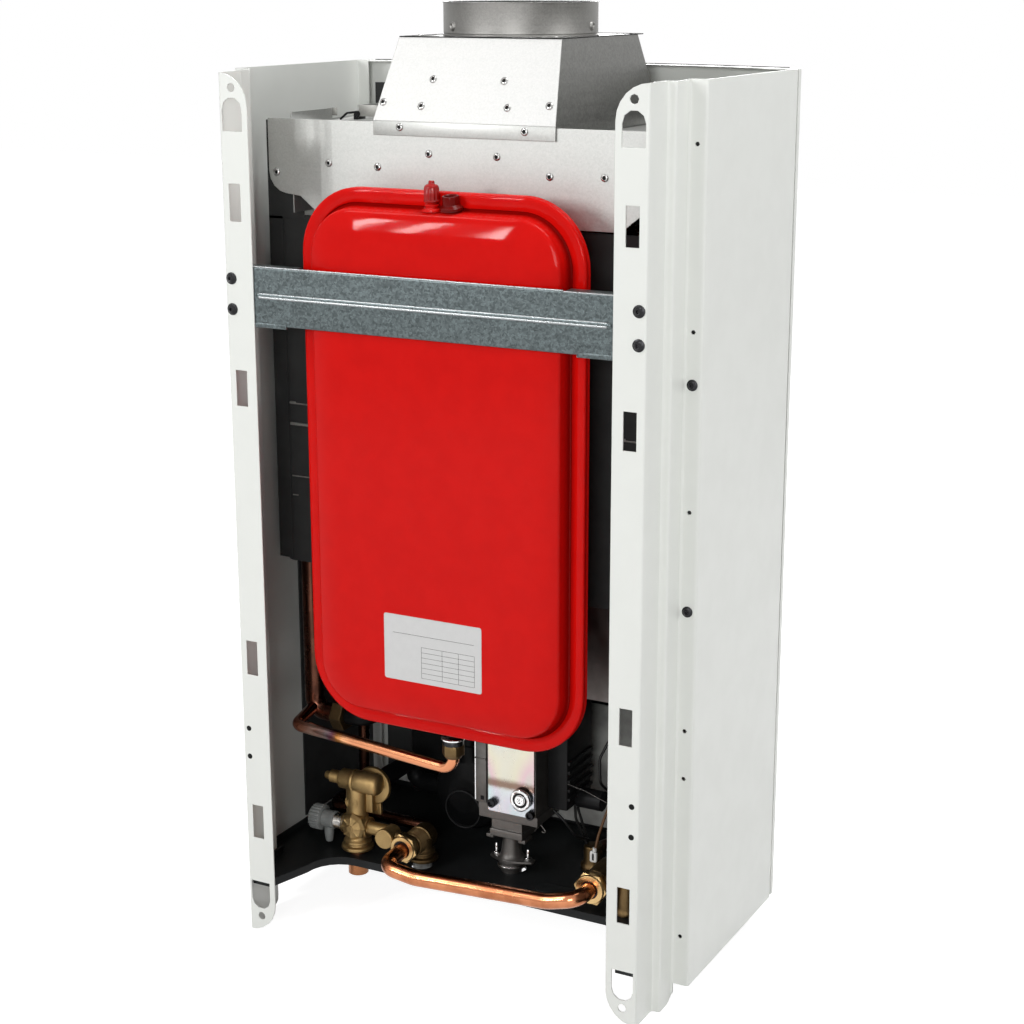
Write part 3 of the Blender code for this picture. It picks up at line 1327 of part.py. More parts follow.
def main():
    clear_scene()
    build_casing()
    build_vessel()
    build_hood()
    build_combustion()
    build_gas()
    build_water()
    build_controls()


main()
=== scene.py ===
"""Looks of the open-backed combination boiler: its finishes, fasteners and finer shapes.

Metres. The wall is the plane Y = 0, the front of the boiler faces -Y and +Z is up.
"""

import logging
from dataclasses import dataclass, field
from enum import Enum
from math import cos, pi, radians, sin, tan

import bmesh
import bpy
from mathutils import Matrix, Vector


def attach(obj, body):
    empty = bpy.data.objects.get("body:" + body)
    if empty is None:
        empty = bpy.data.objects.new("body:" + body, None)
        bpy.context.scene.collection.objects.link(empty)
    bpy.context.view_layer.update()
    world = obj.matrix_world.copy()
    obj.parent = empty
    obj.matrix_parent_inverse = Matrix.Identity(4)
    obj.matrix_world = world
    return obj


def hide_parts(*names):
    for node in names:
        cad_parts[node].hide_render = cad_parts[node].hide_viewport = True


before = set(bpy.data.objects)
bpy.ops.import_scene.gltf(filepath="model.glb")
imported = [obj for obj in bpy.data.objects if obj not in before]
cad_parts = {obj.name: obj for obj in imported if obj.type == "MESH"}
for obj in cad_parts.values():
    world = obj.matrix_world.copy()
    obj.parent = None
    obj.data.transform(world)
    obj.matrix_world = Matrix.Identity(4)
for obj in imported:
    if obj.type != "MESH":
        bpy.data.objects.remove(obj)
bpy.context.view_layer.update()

log = logging.getLogger("boiler")
Color = tuple[float, float, float]
Point = tuple[float, float, float]
Profile = list[tuple[float, float]]

# Height at which the feet of the water columns stand on the tray.
FOOT_Z = 0.0505


class Body(Enum):
    """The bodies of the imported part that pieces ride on."""

    BOILER = "boiler"
    COVER = "cover"
    VESSEL_CAP = "vessel_cap"
    DRAIN_CAP = "drain_cap"
    SAFETY_KNOB = "safety_knob"
    HEATING = "heating_control"
    HOT_WATER = "hot_water_control"
    NEEDLE = "needle"
    ROTOR = "rotor"


class Axis(Enum):
    """The turn that brings a shape made upright on to an axis of the boiler."""

    X = Matrix.Rotation(pi / 2, 4, "Y")
    Y = Matrix.Rotation(-pi / 2, 4, "X")
    Z = Matrix.Identity(4)


# -------- shader effects


class Graph:
    """A shader node tree that is being wired."""

    def __init__(self, tree: bpy.types.NodeTree) -> None:
        """Keeps the tree."""
        self.tree = tree

    def node(self, kind: str, inputs: dict | None = None, **settings: object) -> bpy.types.Node:
        """Adds a node, sets it and wires it.

        Args:
            kind: The node's type name, without its ShaderNode start.
            inputs: Value or source socket for each input.
            **settings: The node's own settings.

        Returns:
            The new node.
        """
        made = self.tree.nodes.new("ShaderNode" + kind)
        for name, value in settings.items():
            setattr(made, name, value)
        self.feed(made, inputs or {})
        return made

    def feed(self, made: bpy.types.Node, inputs: dict) -> None:
        """Gives inputs of a node their values.

        Args:
            made: The node.
            inputs: Value or source socket for each number or name, with _ for a space.
        """
        for name, value in inputs.items():
            socket = made.inputs[name.replace("_", " ") if isinstance(name, str) else name]
            if isinstance(value, bpy.types.NodeSocket):
                self.tree.links.new(value, socket)
            else:
                socket.default_value = value

    def math(self, operation: str, *values: object) -> bpy.types.NodeSocket:
        """Adds a Math node and returns its output."""
        return self.node("Math", dict(enumerate(values)), operation=operation).outputs[0]

    def times(self, first: object, second: object) -> bpy.types.NodeSocket:
        """Multiplies two values."""
        return self.math("MULTIPLY", first, second)

    def noise(self, place: object, scale: object, detail: float, **more: float) -> bpy.types.NodeSocket:
        """Adds a noise texture with other named inputs as given, and returns its value."""
        inputs = {"Vector": place, "Scale": scale, "Detail": detail, **more}
        return self.node("TexNoise", inputs).outputs[0]

    def ramp(self, value: object, tints: tuple) -> bpy.types.NodeSocket:
        """Adds a colour ramp.

        Args:
            value: What it is read with, from 0 to 1.
            tints: Place and colour of each stop, in order.

        Returns:
            The socket of its colour.
        """
        made = self.node("ValToRGB", {"Fac": value})
        stops = made.color_ramp.elements
        while len(stops) < len(tints):
            stops.new(0.5)
        for stop, (place, tint) in zip(stops, tints):
            stop.position = place
            stop.color = (*tint, 1.0)
        return made.outputs[0]

    def mix(self, share: object, first: object, second: object) -> bpy.types.NodeSocket:
        """Mixes two colours.

        Args:
            share: How much of the second, as a number or a socket.
            first: A colour or a socket.
            second: A colour or a socket.

        Returns:
            The socket of the mixed colour.
        """
        inputs = {0: share}
        for index, color in ((6, first), (7, second)):
            inputs[index] = color if isinstance(color, bpy.types.NodeSocket) else (*color, 1.0)
        return self.node("Mix", inputs, data_type="RGBA").outputs[2]

    def spread(self, value: object, low: float, high: float) -> bpy.types.NodeSocket:
        """Maps a 0 to 1 value on to low to high."""
        return self.node("MapRange", {"Value": value, "To Min": low, "To Max": high}).outputs[0]

    def step(self, value: object, low: float, high: float) -> bpy.types.NodeSocket:
        """Maps low to high on to 0 to 1, with smooth ends."""
        inputs = {"Value": value, "From Min": low, "From Max": high}
        return self.node("MapRange", inputs, interpolation_type="SMOOTHSTEP").outputs[0]

    def position(self, stretch: Point = (1.0, 1.0, 1.0)) -> bpy.types.NodeSocket:
        """Object coordinates, stretched along the axes."""
        place = self.node("TexCoord").outputs["Object"]
        return self.node("Mapping", {"Vector": place, "Scale": stretch}).outputs[0]


@dataclass(frozen=True)
class Effect:
    """A shader node group that finishes share."""

    name: str
    inputs: tuple[tuple[str, float], ...]
    outputs: tuple[str, ...]

    def tree(self) -> bpy.types.NodeTree:
        """Finds the group or builds it once.

        Returns:
            The node group.
        """
        found = bpy.data.node_groups.get(self.name)
        if found:
            return found
        made = bpy.data.node_groups.new(self.name, "ShaderNodeTree")
        for name, value in self.inputs:
            socket = made.interface.new_socket(name, in_out="INPUT", socket_type="NodeSocketFloat")
            socket.default_value = value
        for name in self.outputs:
            kind = "NodeSocketVector" if name == "Normal" else "NodeSocketFloat"
            made.interface.new_socket(name, in_out="OUTPUT", socket_type=kind)
        graph = Graph(made)
        entry = made.nodes.new("NodeGroupInput")
        leave = made.nodes.new("NodeGroupOutput")
        for name, socket in self.wire(graph, entry.outputs).items():
            made.links.new(socket, leave.inputs[name])
        return made

    def wire(self, graph: Graph, given: bpy.types.NodeOutputs) -> dict:
        """Wires the inside of the group.

        Args:
            graph: The group's tree.
            given: The group's inputs.

        Returns:
            The socket for each output.
        """
        raise NotImplementedError

    def use(self, graph: Graph, **values: object) -> bpy.types.NodeOutputs:
        """Places the group in a material.

        Args:
            graph: The material's tree.
            **values: Value or socket for each input.

        Returns:
            The placed group's outputs.
        """
        return graph.node("Group", values, node_tree=self.tree()).outputs


class Grain(Effect):
    """Fine and broad noise: the tooth of a surface and its slow change of tone."""

    def wire(self, graph: Graph, given: bpy.types.NodeOutputs) -> dict:
        """Wires two noises over the object's own coordinates.

        Args:
            graph: The group's tree.
            given: The group's inputs.

        Returns:
            The socket for each output.
        """
        place = graph.position()
        fine = graph.noise(place, given["Scale"], 3.0, Roughness=0.6)
        broad = graph.noise(place, graph.times(given["Scale"], 0.06), 4.0, Roughness=0.55)
        return {"Fine": fine, "Broad": graph.step(broad, 0.3, 0.7)}


class Spangle(Effect):
    """The crystals of hot-dip zinc: small plates of differing tone with feathered borders."""

    def wire(self, graph: Graph, given: bpy.types.NodeOutputs) -> dict:
        """Wires warped cells and a dusting of fine speckle.

        Args:
            graph: The group's tree.
            given: The group's inputs.

        Returns:
            The socket for each output.
        """
        place = graph.position()
        warp = graph.node("TexNoise", {"Vector": place, "Scale": 260.0, "Detail": 2.0}).outputs[1]
        offset = graph.node("VectorMath", {0: warp, "Scale": 0.004}, operation="SCALE").outputs[0]
        moved = graph.node("VectorMath", {0: place, 1: offset}, operation="ADD").outputs[0]
        cells = graph.node("TexVoronoi", {"Vector": moved, "Scale": given["Scale"]})
        tone = graph.node("SeparateColor", {0: cells.outputs["Color"]}).outputs[0]
        speckle = graph.noise(place, graph.times(given["Scale"], 4.0), 2.0)
        return {"Tone": tone, "Speckle": graph.step(speckle, 0.35, 0.65)}


class SoftEdges(Effect):
    """Rounds sharp edges in the shading and marks where they are."""

    def wire(self, graph: Graph, given: bpy.types.NodeOutputs) -> dict:
        """Wires the Bevel normal and how far it leans from the true one.

        Args:
            graph: The group's tree.
            given: The group's inputs.

        Returns:
            The socket for each output.
        """
        bevel = graph.node("Bevel", {"Radius": given["Radius"]}, samples=4)
        true = graph.node("NewGeometry").outputs["Normal"]
        inputs = {0: bevel.outputs[0], 1: true}
        lean = graph.node("VectorMath", inputs, operation="DOT_PRODUCT").outputs["Value"]
        edge = graph.step(graph.math("SUBTRACT", 1.0, lean), 0.02, 0.35)
        return {"Normal": bevel.outputs[0], "Edge": edge}


class Handling(Effect):
    """Fine scratches and settled dust from storing and carrying."""

    def wire(self, graph: Graph, given: bpy.types.NodeOutputs) -> dict:
        """Wires two directions of thin scratches and a dust mask for upward faces.

        Args:
            graph: The group's tree.
            given: The group's inputs.

        Returns:
            The socket for each output.
        """
        found = []
        for stretch in ((30.0, 30.0, 1600.0), (1100.0, 1100.0, 45.0)):
            found.append(graph.step(graph.noise(graph.position(stretch), 1.0, 3.0), 0.66, 0.74))
        where = graph.step(graph.noise(graph.position(), 9.0, 2.0), 0.52, 0.68)
        scratch = graph.times(graph.math("MAXIMUM", *found), where)
        normal = graph.node("NewGeometry").outputs["Normal"]
        upward = graph.node("SeparateXYZ", {0: normal}).outputs[2]
        specks = graph.noise(graph.position(), 420.0, 5.0)
        settled = graph.times(graph.step(upward, 0.3, 0.95), graph.step(specks, 0.42, 0.7))
        amount = graph.times(settled, given["Dust"])
        return {"Scratch": graph.times(scratch, given["Scratches"]), "Dust": amount}


GRAIN = Grain("surface_grain", (("Scale", 900.0),), ("Fine", "Broad"))
SPANGLE = Spangle("zinc_spangle", (("Scale", 300.0),), ("Tone", "Speckle"))
SOFT_EDGES = SoftEdges("soft_edges", (("Radius", 0.0006),), ("Normal", "Edge"))
HANDLING = Handling("handling_marks", (("Scratches", 1.0), ("Dust", 1.0)), ("Scratch", "Dust"))


# -------- finishes


def toned(color: Color, factor: float, limit: float = 1.0) -> Color:
    """A colour with its channels multiplied, up to a limit."""
    return tuple(min(channel * factor, limit) for channel in color)


@dataclass(frozen=True)
class Finish:
    """A surface finish. Each kind of surface is a subclass that wires its own nodes.

    Attributes:
        name: The material's name.
        color: Base colour, linear.
        roughness: Middle roughness.
        slot: The record's material slot that it stands for; not used here.
        radius: How wide its edges are rounded in the shading.
        grain: Tooth of the surface, in cycles per metre.
        depth: Height of that tooth in metres.
    """

    name: str
    color: Color
    roughness: float
    slot: str
    radius: float = 0.0006
    grain: float = 900.0
    depth: float = 0.00002

    def material(self) -> bpy.types.Material:
        """Finds the material or makes it once.

        Returns:
            The finished material.
        """
        title = self.name + "_finish"
        found = bpy.data.materials.get(title)
        if found:
            return found
        made = bpy.data.materials.new(title)
        made.use_nodes = True
        made.diffuse_color = (*self.color, 1.0)
        graph = Graph(made.node_tree)
        shader = made.node_tree.nodes["Principled BSDF"]
        shader.inputs["Base Color"].default_value = (*self.color, 1.0)
        shader.inputs["Roughness"].default_value = self.roughness
        self.wire(graph, shader)
        return made

    def close(
        self, graph: Graph, shader: bpy.types.Node, edges: bpy.types.NodeOutputs, height: object,
        **inputs: object,
    ) -> None:
        """Feeds the shader, with a relief over softened edges.

        Args:
            graph: The material's tree.
            shader: Its shader.
            edges: The softened edges.
            height: Height of the relief, as a share of the finish's depth.
            **inputs: Value or socket for each other input.
        """
        relief = {"Height": height, "Normal": edges["Normal"], "Distance": self.depth, "Strength": 1.0}
        graph.feed(shader, {"Normal": graph.node("Bump", relief).outputs[0], **inputs})

    def wire(self, graph: Graph, shader: bpy.types.Node) -> None:
        """Wires the finish into the shader."""
        raise NotImplementedError


@dataclass(frozen=True)
class StovePaint(Finish):
    """Stoved powder paint on steel: a faint orange peel, a little dust and a few scuffs."""

    gloss: float = 0.25

    def wire(self, graph: Graph, shader: bpy.types.Node) -> None:
        """Wires the paint's mottle, scuffs and orange peel.

        Args:
            graph: The material's tree.
            shader: Its shader.
        """
        edges = SOFT_EDGES.use(graph, Radius=self.radius)
        grain = GRAIN.use(graph, Scale=self.grain)
        marks = HANDLING.use(graph, Scratches=0.5, Dust=0.35)
        body = graph.mix(grain["Broad"], self.color, toned(self.color, 0.982))
        body = graph.mix(graph.times(marks["Dust"], 0.35), body, (0.5, 0.49, 0.46))
        body = graph.mix(graph.times(marks["Scratch"], 0.1), body, (0.42, 0.42, 0.41))
        rough = graph.spread(grain["Broad"], self.roughness - 0.04, self.roughness + 0.05)
        coat = {"Coat_Weight": self.gloss, "Coat_Roughness": 0.18}
        self.close(graph, shader, edges, grain["Fine"], Base_Color=body, Roughness=rough, **coat)


@dataclass(frozen=True)
class ZincSheet(Finish):
    """Hot-dip zinc on sheet steel, with its crystals, rolling streaks and a little dust."""

    crystals: float = 420.0
    contrast: float = 0.16
    metallic: float = 0.7
    streak: Point = (6.0, 6.0, 240.0)

    def wire(self, graph: Graph, shader: bpy.types.Node) -> None:
        """Wires crystals into colour and roughness, and streaks into both.

        Args:
            graph: The material's tree.
            shader: Its shader.
        """
        edges = SOFT_EDGES.use(graph, Radius=self.radius)
        zinc = SPANGLE.use(graph, Scale=self.crystals)
        marks = HANDLING.use(graph, Scratches=1.0, Dust=0.5)
        streaks = graph.noise(graph.position(self.streak), 1.0, 4.0)
        tone = graph.math("ADD", graph.times(zinc["Tone"], 0.55), graph.times(streaks, 0.45))
        dark = toned(self.color, 1.0 - self.contrast)
        body = graph.mix(tone, dark, toned(self.color, 1.0 + self.contrast * 0.6))
        speckle = graph.times(zinc["Speckle"], self.contrast * 0.8)
        body = graph.mix(speckle, body, toned(self.color, 0.62))
        body = graph.mix(graph.times(marks["Dust"], 0.4), body, (0.42, 0.41, 0.38))
        rough = graph.spread(tone, self.roughness - 0.08, self.roughness + 0.1)
        height = graph.math("ADD", graph.times(zinc["Speckle"], 0.5), streaks)
        self.close(graph, shader, edges, height, Base_Color=body, Roughness=rough, Metallic=self.metallic)


@dataclass(frozen=True)
class Enamel(Finish):
    """Thick gloss enamel sprayed on a deep pressing, with a little sag and fine dust under it, and painted
    shade in a groove where asked.

    Attributes:
        groove: Depths along Y over which painted shade in the groove beside the rim fades from full to none,
            if any.
    """

    groove: tuple = ()

    def wire(self, graph: Graph, shader: bpy.types.Node) -> None:
        """Wires depth of colour, painted shade in the groove, sag of the film, fine scratches and the fuller
        coat at the edges.

        Args:
            graph: The material's tree.
            shader: Its shader.
        """
        edges = SOFT_EDGES.use(graph, Radius=self.radius)
        grain = GRAIN.use(graph, Scale=self.grain)
        marks = HANDLING.use(graph, Scratches=0.8, Dust=0.5)
        deep = (self.color[0] * 0.94, self.color[1] * 0.85, self.color[2] * 0.85)
        body = graph.mix(grain["Broad"], self.color, deep)
        body = graph.mix(graph.times(marks["Dust"], 0.12), body, (0.55, 0.3, 0.27))
        # Painted shade: the enamel is darker in the groove beside the rim and lightens away from it.
        if self.groove:
            depth = graph.node("SeparateXYZ", {0: graph.position()}).outputs[1]
            low, high = self.groove
            inputs = {"Value": depth, "From Min": low, "From Max": high, "To Min": 1.0, "To Max": 0.0}
            groove_painted_shade = graph.node("MapRange", inputs).outputs[0]
            body = graph.mix(groove_painted_shade, body, toned(self.color, 0.42))
        rough = graph.spread(marks["Scratch"], self.roughness, self.roughness + 0.1)
        sag = graph.noise(graph.position(), 38.0, 1.0)
        runs = graph.noise(graph.position((1.0, 1.0, 0.4)), 210.0, 1.0)
        film = graph.math("ADD", graph.times(sag, 1.6), graph.times(grain["Fine"], 0.02))
        film = graph.math("ADD", film, graph.times(runs, 0.22))
        coat = {"Coat_Weight": edges["Edge"], "Coat_Roughness": 0.04, "Specular_IOR_Level": 0.07}
        self.close(graph, shader, edges, film, Base_Color=body, Roughness=rough, **coat)


@dataclass(frozen=True)
class Casting(Finish):
    """Cast metal: sandy or die-cast skin, darker in the hollows and paler along its edges."""

    tarnish: Color = (0.14, 0.085, 0.035)
    metallic: float = 0.92

    def wire(self, graph: Graph, shader: bpy.types.Node) -> None:
        """Wires sand grain, tarnish and paler edges.

        Args:
            graph: The material's tree.
            shader: Its shader.
        """
        edges = SOFT_EDGES.use(graph, Radius=self.radius)
        grain = GRAIN.use(graph, Scale=self.grain)
        patch = GRAIN.use(graph, Scale=self.grain * 0.5)
        cover = graph.times(patch["Broad"], 0.34)
        body = graph.mix(cover, self.color, self.tarnish)
        pits = graph.times(graph.step(grain["Fine"], 0.48, 0.3), 0.45)
        body = graph.mix(pits, body, self.tarnish)
        bright = toned(self.color, 1.35, 0.95)
        body = graph.mix(graph.times(edges["Edge"], 0.55), body, bright)
        rough = graph.spread(patch["Broad"], self.roughness - 0.07, self.roughness + 0.1)
        fine = grain["Fine"]
        self.close(graph, shader, edges, fine, Base_Color=body, Roughness=rough, Metallic=self.metallic)


@dataclass(frozen=True)
class Machined(Finish):
    """Turned, drawn or plated bright metal with fine tool lines and a light tarnish."""

    tarnish: Color = (0.3, 0.16, 0.07)
    cover: float = 0.35
    lines: Point = (120.0, 120.0, 120.0)

    def wire(self, graph: Graph, shader: bpy.types.Node) -> None:
        """Wires tool lines, patches of tarnish and fine scratches.

        Args:
            graph: The material's tree.
            shader: Its shader.
        """
        edges = SOFT_EDGES.use(graph, Radius=self.radius)
        grain = GRAIN.use(graph, Scale=self.grain)
        marks = HANDLING.use(graph, Scratches=1.0, Dust=0.4)
        body = graph.mix(graph.times(grain["Broad"], self.cover), self.color, self.tarnish)
        pale = toned(self.color, 1.25, 0.95)
        body = graph.mix(graph.times(marks["Scratch"], 0.4), body, pale)
        rough = graph.spread(grain["Broad"], self.roughness - 0.05, self.roughness + 0.12)
        lines = graph.noise(graph.position(self.lines), 1.0, 4.0)
        self.close(graph, shader, edges, lines, Base_Color=body, Roughness=rough, Metallic=1.0)


@dataclass(frozen=True)
class ChromatedZinc(Finish):
    """Bright zinc plate under a thin chromate film, with a heat-stained band across it.

    Attributes:
        stain_z: Heights at which the stain starts, is full from and to, and ends.
    """

    stain_z: tuple = (0.1255, 0.1305, 0.1325, 0.1385)

    def wire(self, graph: Graph, shader: bpy.types.Node) -> None:
        """Wires the interference colours of the film, the stained band and the bluish foot.

        Args:
            graph: The material's tree.
            shader: Its shader.
        """
        edges = SOFT_EDGES.use(graph, Radius=self.radius)
        grain = GRAIN.use(graph, Scale=self.grain)
        film = graph.noise(graph.position((1.0, 1.0, 0.45)), 26.0, 1.5, Distortion=0.4)
        tints = (
            (0.3, (0.5, 0.53, 0.55)), (0.42, (0.58, 0.54, 0.4)), (0.5, (0.58, 0.38, 0.42)),
            (0.57, (0.38, 0.52, 0.4)), (0.64, (0.38, 0.46, 0.58)), (0.75, (0.58, 0.58, 0.55)),
        )
        body = graph.mix(0.75, self.color, graph.ramp(film, tints))
        height = graph.node("SeparateXYZ", {0: graph.position()}).outputs[2]
        ragged = graph.times(graph.math("SUBTRACT", grain["Fine"], 0.5), 0.004)
        height = graph.math("ADD", height, ragged)
        starts, full_from, full_to, ends = self.stain_z
        rise = graph.step(height, starts, full_from)
        fall = graph.step(height, ends, full_to)
        stain = graph.times(rise, fall)
        body = graph.mix(graph.times(stain, 0.85), body, (0.16, 0.085, 0.06))
        low = graph.step(height, full_from, starts)
        body = graph.mix(graph.times(low, 0.6), body, (0.5, 0.58, 0.66))
        rough = graph.spread(grain["Broad"], self.roughness - 0.04, self.roughness + 0.08)
        self.close(graph, shader, edges, grain["Fine"], Base_Color=body, Roughness=rough, Metallic=1.0)


@dataclass(frozen=True)
class Moulding(Finish):
    """Moulded plastic, rubber or board with a fine texture and settled dust."""

    dust: float = 0.6
    mottle: float = 0.8
    specular: float = 0.5

    def wire(self, graph: Graph, shader: bpy.types.Node) -> None:
        """Wires the mould texture, slow tone and dust.

        Args:
            graph: The material's tree.
            shader: Its shader.
        """
        edges = SOFT_EDGES.use(graph, Radius=self.radius)
        grain = GRAIN.use(graph, Scale=self.grain)
        marks = HANDLING.use(graph, Scratches=0.6, Dust=self.dust)
        body = graph.mix(grain["Broad"], self.color, toned(self.color, self.mottle))
        body = graph.mix(graph.times(marks["Dust"], self.dust * 0.3), body, (0.3, 0.29, 0.27))
        pale = tuple(min(channel * 1.6 + 0.02, 0.9) for channel in self.color)
        body = graph.mix(graph.times(marks["Scratch"], 0.35), body, pale)
        rough = graph.spread(grain["Fine"], self.roughness - 0.06, self.roughness + 0.06)
        shine = {"Specular_IOR_Level": self.specular}
        self.close(graph, shader, edges, grain["Fine"], Base_Color=body, Roughness=rough, **shine)


@dataclass(frozen=True)
class BrazedCopper(Finish):
    """Copper tube that was heated at one end: brown there, then violet, straw and clean copper.

    Attributes:
        start: Where along X the clean copper ends.
        end: Where along X the tube is brown.
    """

    start: float = 0.098
    end: float = 0.168

    def wire(self, graph: Graph, shader: bpy.types.Node) -> None:
        """Wires the oxide colours along the tube.

        Args:
            graph: The material's tree.
            shader: Its shader.
        """
        edges = SOFT_EDGES.use(graph, Radius=self.radius)
        grain = GRAIN.use(graph, Scale=self.grain)
        marks = HANDLING.use(graph, Scratches=1.0, Dust=0.3)
        along = graph.node("SeparateXYZ", {0: graph.position()}).outputs[0]
        drift = graph.times(graph.math("SUBTRACT", grain["Broad"], 0.5), 0.006)
        inputs = {"Value": graph.math("ADD", along, drift), "From Min": self.start, "From Max": self.end}
        heat = graph.node("MapRange", inputs).outputs[0]
        tints = (
            (0.0, self.color), (0.16, (0.86, 0.44, 0.22)), (0.27, (0.8, 0.34, 0.08)),
            (0.34, (0.34, 0.15, 0.26)), (0.42, (0.62, 0.55, 0.6)), (0.58, (0.82, 0.55, 0.46)),
            (0.78, (0.42, 0.17, 0.1)), (1.0, (0.1, 0.035, 0.025)),
        )
        oxide = graph.ramp(heat, tints)
        body = graph.mix(graph.times(grain["Broad"], 0.25), oxide, (0.5, 0.17, 0.08))
        rough = graph.spread(marks["Scratch"], self.roughness, self.roughness + 0.15)
        self.close(graph, shader, edges, grain["Fine"], Base_Color=body, Roughness=rough, Metallic=1.0)


WHITE_PAINT = StovePaint(
    "white_stove_paint", (0.75, 0.765, 0.73), 0.38, "white_stove_paint", grain=700.0, gloss=0.12,
)
HOOD_ZINC = ZincSheet(
    "galvanised_sheet", (0.42, 0.425, 0.41), 0.42, "galvanised_sheet", crystals=900.0, metallic=0.75,
)
# Painted shade: a darker copy of the galvanised sheet for the cone's sides.
CONE_SHADE_ZINC = ZincSheet(
    "galvanised_cone_painted_shade", (0.2, 0.2, 0.19), 0.4, "galvanised_sheet", crystals=620.0, contrast=0.4,
    metallic=0.85,
)
# Painted light: a brighter copy of the galvanised sheet for the cone's sloping rear face.
CONE_LIT_FACE_ZINC = ZincSheet(
    "galvanised_face_painted_light", (0.495, 0.495, 0.485), 0.5, "galvanised_sheet", crystals=900.0, metallic=0.7,
)
COLLAR_ZINC = ZincSheet(
    "galvanised_collar_zinc", (0.24, 0.236, 0.225), 0.44, "galvanised_sheet",
    crystals=900.0, contrast=0.22, metallic=1.0, streak=(3.0, 3.0, 700.0),
)
BAR_ZINC = ZincSheet(
    "galvanised_bar_zinc", (0.112, 0.137, 0.141), 0.34, "galvanised_sheet",
    crystals=640.0, contrast=1.0, streak=(60.0, 60.0, 300.0),
)
# Painted highlight: a brighter copy of the bar's zinc for the tubes of the bead and hem.
BEAD_HIGHLIGHT_ZINC = ZincSheet(
    "galvanised_bead_painted_highlight", (0.3, 0.315, 0.32), 0.3, "galvanised_sheet", crystals=900.0, metallic=0.9,
)
RIVET_METAL = Machined(
    "rivet_metal", (0.42, 0.42, 0.41), 0.22, "stainless_steel", tarnish=(0.16, 0.15, 0.14), radius=0.0002,
)
ALUMINISED = ZincSheet("aluminised_sheet", (0.36, 0.355, 0.335), 0.46, "aluminised_sheet", crystals=700.0)
# Painted shade: a dark sheet for the chamber's back, the strips beside it and the sheets inside the casing,
# where shade falls.
SHADE_SHEET = Moulding(
    "dark_heat_proof_sheet", (0.032, 0.033, 0.033), 0.5, "dark_heat_proof_sheet", dust=0.3, specular=0.25,
)
TRAY_PAINT = Moulding(
    "tray_black_paint", (0.013, 0.0145, 0.015), 0.42, "dark_heat_proof_sheet", dust=0.15, specular=0.16,
)
RED_ENAMEL = Enamel("red_enamel", (0.6, 0.0046, 0.0032), 0.055, "red_enamel", radius=0.0008)
# Red enamel with painted shade in the groove beside the rim, for the rear pressing.
GROOVE_SHADE_ENAMEL = Enamel(
    "red_pressing_enamel_groove_shade", (0.6, 0.0046, 0.0032), 0.055, "red_enamel", radius=0.0008,
    groove=(-0.0215, -0.015),
)
# Painted shade: a darker copy of the red enamel for the blind boss.
SHADE_RED_ENAMEL = Enamel("red_enamel_painted_shade", (0.13, 0.003, 0.0022), 0.14, "red_enamel", radius=0.0006)
BRASS_CAST = Casting(
    "sand_cast_brass", (0.36, 0.245, 0.105), 0.42, "sand_cast_brass", tarnish=(0.13, 0.08, 0.032),
    radius=0.0012, grain=1500.0, depth=0.00016,
)
# Painted shade: a darker copy of the cast brass for parts that sit in shade deeper inside.
BRASS_SHADE = Casting(
    "cast_brass_painted_shade", (0.135, 0.088, 0.038), 0.38, "sand_cast_brass", tarnish=(0.04, 0.024, 0.01),
    radius=0.001, grain=1500.0, depth=0.00014,
)
BRASS_TURNED = Machined(
    "turned_brass", (0.62, 0.43, 0.2), 0.24, "sand_cast_brass", tarnish=(0.3, 0.18, 0.07), cover=0.6,
)
COPPER = Machined(
    "copper_tube", (0.56, 0.225, 0.11), 0.18, "copper_tube", tarnish=(0.28, 0.088, 0.038), cover=0.7,
)
COPPER_RING = Machined(
    "copper_ring", (0.3, 0.125, 0.055), 0.3, "copper_tube", tarnish=(0.12, 0.05, 0.025), cover=0.6,
)
HEATED_COPPER = BrazedCopper("brazed_copper_tube", (0.6, 0.25, 0.125), 0.17, "copper_tube")
# Painted shade: a darker copy of the copper for the pipes that stand in shade inside.
COPPER_SHADE = Machined(
    "copper_tube_painted_shade", (0.12, 0.048, 0.03), 0.26, "copper_tube", tarnish=(0.035, 0.016, 0.012), cover=0.7,
)
DIE_CAST = Casting(
    "die_cast_alloy", (0.13, 0.124, 0.117), 0.4, "die_cast_alloy", tarnish=(0.035, 0.033, 0.031),
    metallic=0.85, grain=1900.0, depth=0.00008, radius=0.0009,
)
CHROMATE = ChromatedZinc("passivated_zinc", (0.55, 0.56, 0.54), 0.22, "passivated_zinc", grain=1200.0)
BLACK_PLASTIC = Moulding(
    "black_plastic", (0.0085, 0.0088, 0.0092), 0.46, "black_plastic", grain=2200.0, dust=0.2, specular=0.14,
)
BLACK_MOTOR = Moulding(
    "black_motor_paint", (0.005, 0.0052, 0.0055), 0.4, "black_motor", grain=1400.0, dust=0.06,
    specular=0.06,
)
BOX_GREY = Moulding(
    "control_box_grey", (0.42, 0.425, 0.405), 0.55, "black_plastic", grain=500.0, dust=0.5, mottle=0.45,
    specular=0.2, depth=0.0001,
)
GREY_PLASTIC = Moulding("grey_plastic", (0.19, 0.2, 0.195), 0.42, "grey_plastic", grain=1800.0)
DRAIN_GREY = Moulding("drain_cock_grey", (0.27, 0.285, 0.28), 0.36, "grey_plastic", grain=1800.0, dust=0.3)
PALE_PLASTIC = Moulding("pale_plastic", (0.6, 0.61, 0.6), 0.38, "pale_plastic", grain=1800.0)
RED_PLASTIC = Moulding(
    "red_plastic", (0.36, 0.004, 0.003), 0.1, "red_plastic", grain=1800.0, dust=0.04, specular=0.22,
)
RUBBER = Moulding(
    "black_rubber", (0.012, 0.012, 0.012), 0.6, "black_rubber", grain=2600.0, dust=0.2, specular=0.2,
)
